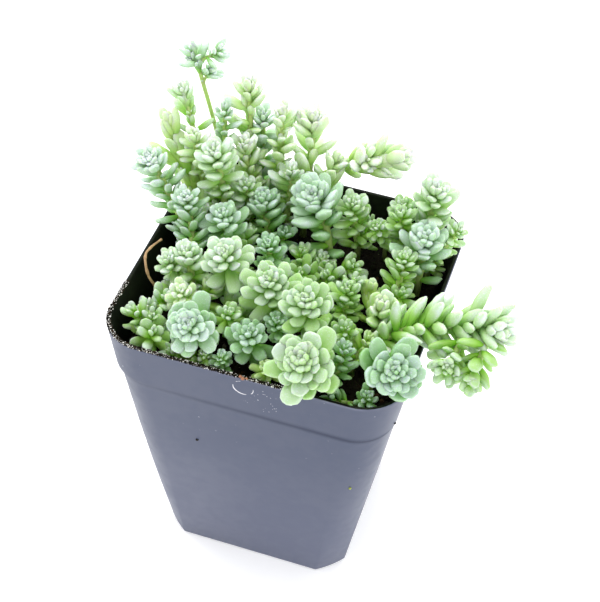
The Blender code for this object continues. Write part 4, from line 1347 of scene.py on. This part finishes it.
def make_leafy_stem_tree():
    """Leaves on the lone points of a mesh, and a stalk along each of its lines."""
    sizes = {
        "Plan": ("Geometry", None),
        "Leaf shapes": ("Collection", None),
        "Stalk sides": ("Int", 8),
        "Stalk step": ("Float", 0.6 * MM),
        "Lumpiness": ("Float", 0.1 * MM),
        "Leaf dents": ("Float", 0.75 * MM),
        "Dent size": ("Float", 1.6 * MM),
        "Material": ("Material", None),
    }
    tree, given, result = new_group("leafy_stem", "GeometryNodeTree", sizes, {"Geometry": "Geometry"})
    split = add(tree, "GeometryNodeSeparateGeometry", {
        "Geometry": given["Plan"],
        "Selection": named(tree, "is_leaf", "BOOLEAN"),
    })
    facing = add(tree, "FunctionNodeAxesToRotation", {
        "Primary Axis": named(tree, "leaf_axis", "FLOAT_VECTOR"),
        "Secondary Axis": named(tree, "leaf_top", "FLOAT_VECTOR"),
    }, primary_axis="Z", secondary_axis="Y")
    leaves = strewn(tree, split.outputs["Selection"], given["Leaf shapes"], {
        "Instance Index": named(tree, "leaf_form", "INT"),
        "Rotation": facing.outputs[0],
        "Scale": named(tree, "leaf_size", "FLOAT_VECTOR"),
    })
    stalk = add(tree, "GeometryNodeGroup", {
        "Lines": split.outputs["Inverted"],
        "Sides": given["Stalk sides"],
        "Step": given["Stalk step"],
        "Lumpiness": given["Lumpiness"],
        "Material": given["Material"],
    }, node_tree=STALK)
    marked = add(tree, "GeometryNodeStoreNamedAttribute", {
        "Geometry": stalk.outputs[0],
        "Name": "stalk",
        "Value": 1.0,
    })
    grown = add(tree, "GeometryNodeRealizeInstances", {0: leaves})
    uneven = noisy(tree, maths(tree, "DIVIDE", 1.0, given["Dent size"]), detail=1.0)["Color"]
    centred = vector_maths(tree, "SUBTRACT", {0: uneven, 1: (0.5, 0.5, 0.5)})[0]
    depth = times(tree, given["Leaf dents"], named(tree, "along"))
    shift = vector_maths(tree, "SCALE", {0: centred, "Scale": depth})[0]
    dented = add(tree, "GeometryNodeSetPosition", {"Geometry": grown.outputs[0], "Offset": shift})
    joined = add(tree, "GeometryNodeJoinGeometry", {0: dented.outputs[0]})
    tree.links.new(marked.outputs[0], joined.inputs[0])
    smooth = add(tree, "GeometryNodeSetShadeSmooth", {"Geometry": joined.outputs[0]})
    return dress(tree, smooth.outputs[0], given["Material"], result)


LEAFY_STEM = make_leafy_stem_tree()
LEAF_MATERIALS = {tint: make_leaf_material(tint) for tint in WAX_COLOURS}


def stalk_girths(path, radius):
    """A stalk tapers to a little under half its radius inside its bud."""
    return [radius * min(1.0, BUD_GIRTH + (1 - BUD_GIRTH) * depth / TAPER_RUN) for depth in measured(path)]


def make_stem(name, stalks, leaves):
    """One stem with its branches: lines for the stalks and a lone point for each leaf."""
    points = []
    links = []
    girths = []
    for path, radius in stalks:
        first = len(points)
        points.extend(path)
        links.extend((first + step, first + step + 1) for step in range(len(path) - 1))
        girths.extend(girth * MM for girth in stalk_girths(path, radius))
    blank = [0.0] * len(points)
    places = [leaf[0] for leaf in leaves]
    points.extend(place.root for place in places)
    piece = new_piece("leafy_stem_" + name, [point * MM for point in points], [], links)
    store(piece.data, "girth", girths + [0.0] * len(places))
    for label in ("age", "seed", "fresh"):
        store(piece.data, label, blank + [getattr(place, label) for place in places])
    vectors = {"leaf_axis": [], "leaf_top": [], "leaf_size": []}
    for place, (direction, upper, length) in leaves:
        vectors["leaf_axis"].extend(direction)
        vectors["leaf_top"].extend(upper)
        broad = LEAF_BREADTH + BREADTH_PLAY * place.seed + BREADTH_GAIN * place.age
        vectors["leaf_size"].extend((length * broad * MM, length * MM, length * MM))
    layers = piece.data.attributes
    is_leaf = [False] * len(blank) + [True] * len(places)
    layers.new("is_leaf", "BOOLEAN", "POINT").data.foreach_set("value", is_leaf)
    forms = [0] * len(blank) + [place.form for place in places]
    layers.new("leaf_form", "INT", "POINT").data.foreach_set("value", forms)
    for label, values in vectors.items():
        layers.new(label, "FLOAT_VECTOR", "POINT").data.foreach_set("vector", blank * 3 + values)
    grow(piece, LEAFY_STEM, {"Leaf shapes": LEAF_SHAPES, "Material": LEAF_MATERIALS[STEMS[name].tint]})
    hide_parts("stem_" + name)
    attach(piece, "root")


def seat_all(growth, leaves, taken):
    """Seats leaves rank by rank over every stem, so that each head keeps its bud whole."""
    ranks = max(len(places) for several in growth.values() for places in several)
    for rank in range(ranks):
        for name, several in growth.items():
            for places in several:
                if rank < len(places):
                    seated = seat(places[rank], name, taken)
                    if seated:
                        leaves[name].append((places[rank], seated))


# Short shoots sprout from the feet of the stems and fill the bare places between them.
SHOOT_SPACING = 5.6
SHOOT_REACH = 10.0
SHOOT_EDGE = 27.0
SHOOT_START = 63.4
SHOOT_RISES = (9.0, 7.5, 6.0, 4.5)
SHOOT_RADIUS = 0.5
SHOOT_LEAF = (4.4, 6.2)
SHOOT_HEAD = 6
SHOOT_CORE = Vector((0, 0, 1.3))
SHOOT_SCATTER = 1.2
SHOOT_LEAN_ACROSS = (-0.3, 0.3)
SHOOT_LEAN_ALONG = (-0.5, 0.1)
# Where no low shoot grows: the middle of each bare place, and its reach.
BARE_PLACES = (
    (11.0, 14.0, 6.5), (22.0, 14.0, 5.0), (16.0, -3.0, 3.5), (-6.5, 0.0, 3.0), (-8.0, -5.5, 3.0),
    (-29.0, -18.0, 5.0), (-29.0, -8.0, 4.0), (19.6, -21.8, 3.0),
)


def low_shoots(taken):
    """Each low shoot that has room: its stem, its path and its leaves' measures."""
    draw = random.Random("low shoots")
    count = int(2 * SHOOT_EDGE / SHOOT_SPACING) + 1
    for row in range(count):
        for column in range(count):
            x = -SHOOT_EDGE + column * SHOOT_SPACING + draw.uniform(-SHOOT_SCATTER, SHOOT_SCATTER)
            y = -SHOOT_EDGE + row * SHOOT_SPACING + draw.uniform(-SHOOT_SCATTER, SHOOT_SCATTER)
            leaf = draw.uniform(*SHOOT_LEAF)
            lean = (draw.uniform(*SHOOT_LEAN_ACROSS), draw.uniform(*SHOOT_LEAN_ALONG), 1.0)
            name = min(STEMS, key=lambda each: math.hypot(STEMS[each].root[0] - x, STEMS[each].root[1] - y))
            start = Vector((*STEMS[name].root, SHOOT_START))
            bare = any(math.hypot(x - middle, y - across) < reach for middle, across, reach in BARE_PLACES)
            if bare or math.hypot(start.x - x, start.y - y) > SHOOT_REACH:
                continue
            for rise in SHOOT_RISES:
                tip = Vector((x, y, SOIL_TOP / MM + rise))
                path = bent_path(start, tip, tip - start + Vector((0, 0, 1)), Vector(lean))
                clear = all(
                    has_room(taken, name, link_points(*link, SHOOT_RADIUS), LINK_FACES)
                    for link in zip(path[1:], path[2:])
                )
                core = link_points(tip - SHOOT_CORE, tip + SHOOT_CORE, SHOOT_CORE.z)
                if clear and has_room(taken, "", core, LINK_FACES):
                    block_path(taken, name, path, SHOOT_RADIUS)
                    tint = STEMS[name].tint
                    yield name, path, Stem((x, y), tuple(tip), lean, leaf, SHOOT_RADIUS, SHOOT_HEAD, tint)
                    break


def make_stems():
    """The stalks come first, then the leaves, rank by rank, so that each head keeps its bud whole."""
    taken = {}
    block_path(taken, "twig", [Vector(place) for place in TWIG_PLACES], TWIG_RADIUS / MM)
    stalks = {}
    growth = {}
    for name, stem in STEMS.items():
        foot = Vector((*stem.root, STEM_FOOT))
        rise = Vector((*stem.root, STEM_RISE))
        path = bent_path(rise, Vector(stem.tip), Vector((0, 0, 1)), Vector(stem.face))
        stalks[name] = [([foot] + path, stem.radius)]
        growth[name] = [leaf_places(name, path, stem)]
    for branch in BRANCHES:
        parent = stalks[branch.stem][0][0][1:]
        depths = measured(parent)
        start, along = at_depth(parent, depths, depths[0] * (1 - branch.start))
        outward = (Vector(branch.tip) - start).normalized()
        path = bent_path(start, Vector(branch.tip), outward + along * BRANCH_LEAN, Vector(branch.face))
        stalks[branch.stem].append((path, branch.radius))
        growth[branch.stem].append(leaf_places(branch.stem + " side branch", path, branch))
    for name, several in stalks.items():
        for path, radius in several:
            block_path(taken, name, path, radius)
    leaves = {name: [] for name in STEMS}
    seat_all(growth, leaves, taken)
    shoots = {}
    for name, path, shoot in low_shoots(taken):
        stalks[name].append((path, shoot.radius))
        shoots.setdefault(name, []).append(leaf_places(name, path, shoot))
    seat_all(shoots, leaves, taken)
    for name in STEMS:
        make_stem(name, stalks[name], leaves[name])


make_stems()


# The studio: a white floor, an even white surround and broad soft lights, one of them from the upper left.
# The camera looks down on the pot at the angle of the photograph.

FLOOR_COLOUR = (0.93, 0.93, 0.94, 1.0)
FLOOR_SIZE = 3.0
FLOOR_GLOW = 0.25
FLOOR_TONE = 0.985
FLOOR_DROP = 0.3 * MM
SURROUND_STRENGTH = 1.2
LIGHTS_AIM = Vector((0, 0, 60)) * MM
# Each light: its name, its place, its size and its power, in metres and watts.
LIGHTS = (
    ("key_light", (-0.45, 0.35, 0.65), 1.0, 5.5),
    ("right_light", (0.85, -0.4, 0.3), 0.6, 1.8),
    ("back_light", (0.1, 0.9, 0.55), 0.8, 3.0),
)
CAMERA_PLACE = Vector((65.95, -232.23, 298.99)) * MM
CAMERA_AIM = Vector((3.67, -5.02, 67.91)) * MM
CAMERA_ROLL = math.radians(3.8)
CAMERA_LENS = 94.31
SENSOR_WIDTH = 36.0


def make_floor():
    made, tree, shader, place = new_material("studio_floor", roughness=0.8)
    shade = tuple(value * FLOOR_TONE for value in FLOOR_COLOUR[:3]) + (1.0,)
    colour = mixed(tree, mottled(tree, place, scale=30.0, fine=6.0)["Tone"], shade, FLOOR_COLOUR)
    tree.links.new(colour, shader.inputs["Base Color"])
    shader.inputs["Emission Color"].default_value = (1.0, 1.0, 1.0, 1.0)
    shader.inputs["Emission Strength"].default_value = FLOOR_GLOW
    half = FLOOR_SIZE / 2
    square = ((-half, -half), (half, -half), (half, half), (-half, half))
    corners = [(x, y, -FLOOR_DROP) for x, y in square]
    floor = new_piece("studio_floor", corners, [(0, 1, 2, 3)])
    floor.data.materials.append(made)


def make_light(name, place, size, power):
    lamp = bpy.data.lights.new(name, "AREA")
    lamp.shape = "DISK"
    lamp.size = size
    lamp.energy = power
    holder = bpy.data.objects.new(name, lamp)
    holder.location = place
    holder.rotation_euler = (LIGHTS_AIM - holder.location).to_track_quat("-Z", "Y").to_euler()
    bpy.context.scene.collection.objects.link(holder)


def make_studio():
    make_floor()
    for light in LIGHTS:
        make_light(*light)
    world = bpy.data.worlds.new("surround")
    world.use_nodes = True
    surround = world.node_tree.nodes["Background"]
    surround.inputs["Color"].default_value = (1.0, 1.0, 1.0, 1.0)
    surround.inputs["Strength"].default_value = SURROUND_STRENGTH
    bpy.context.scene.world = world
    bpy.context.scene.view_settings.view_transform = "Standard"


def make_camera():
    lens = bpy.data.cameras.new("camera")
    lens.sensor_width = SENSOR_WIDTH
    lens.sensor_fit = "HORIZONTAL"
    lens.lens = CAMERA_LENS
    holder = bpy.data.objects.new("camera", lens)
    facing = (CAMERA_AIM - CAMERA_PLACE).to_track_quat("-Z", "Y").to_matrix()
    roll = Matrix.Rotation(CAMERA_ROLL, 3, "Z")
    holder.matrix_world = Matrix.Translation(CAMERA_PLACE) @ (facing @ roll).to_4x4()
    bpy.context.scene.collection.objects.link(holder)
    bpy.context.scene.camera = holder


make_studio()
make_camera()
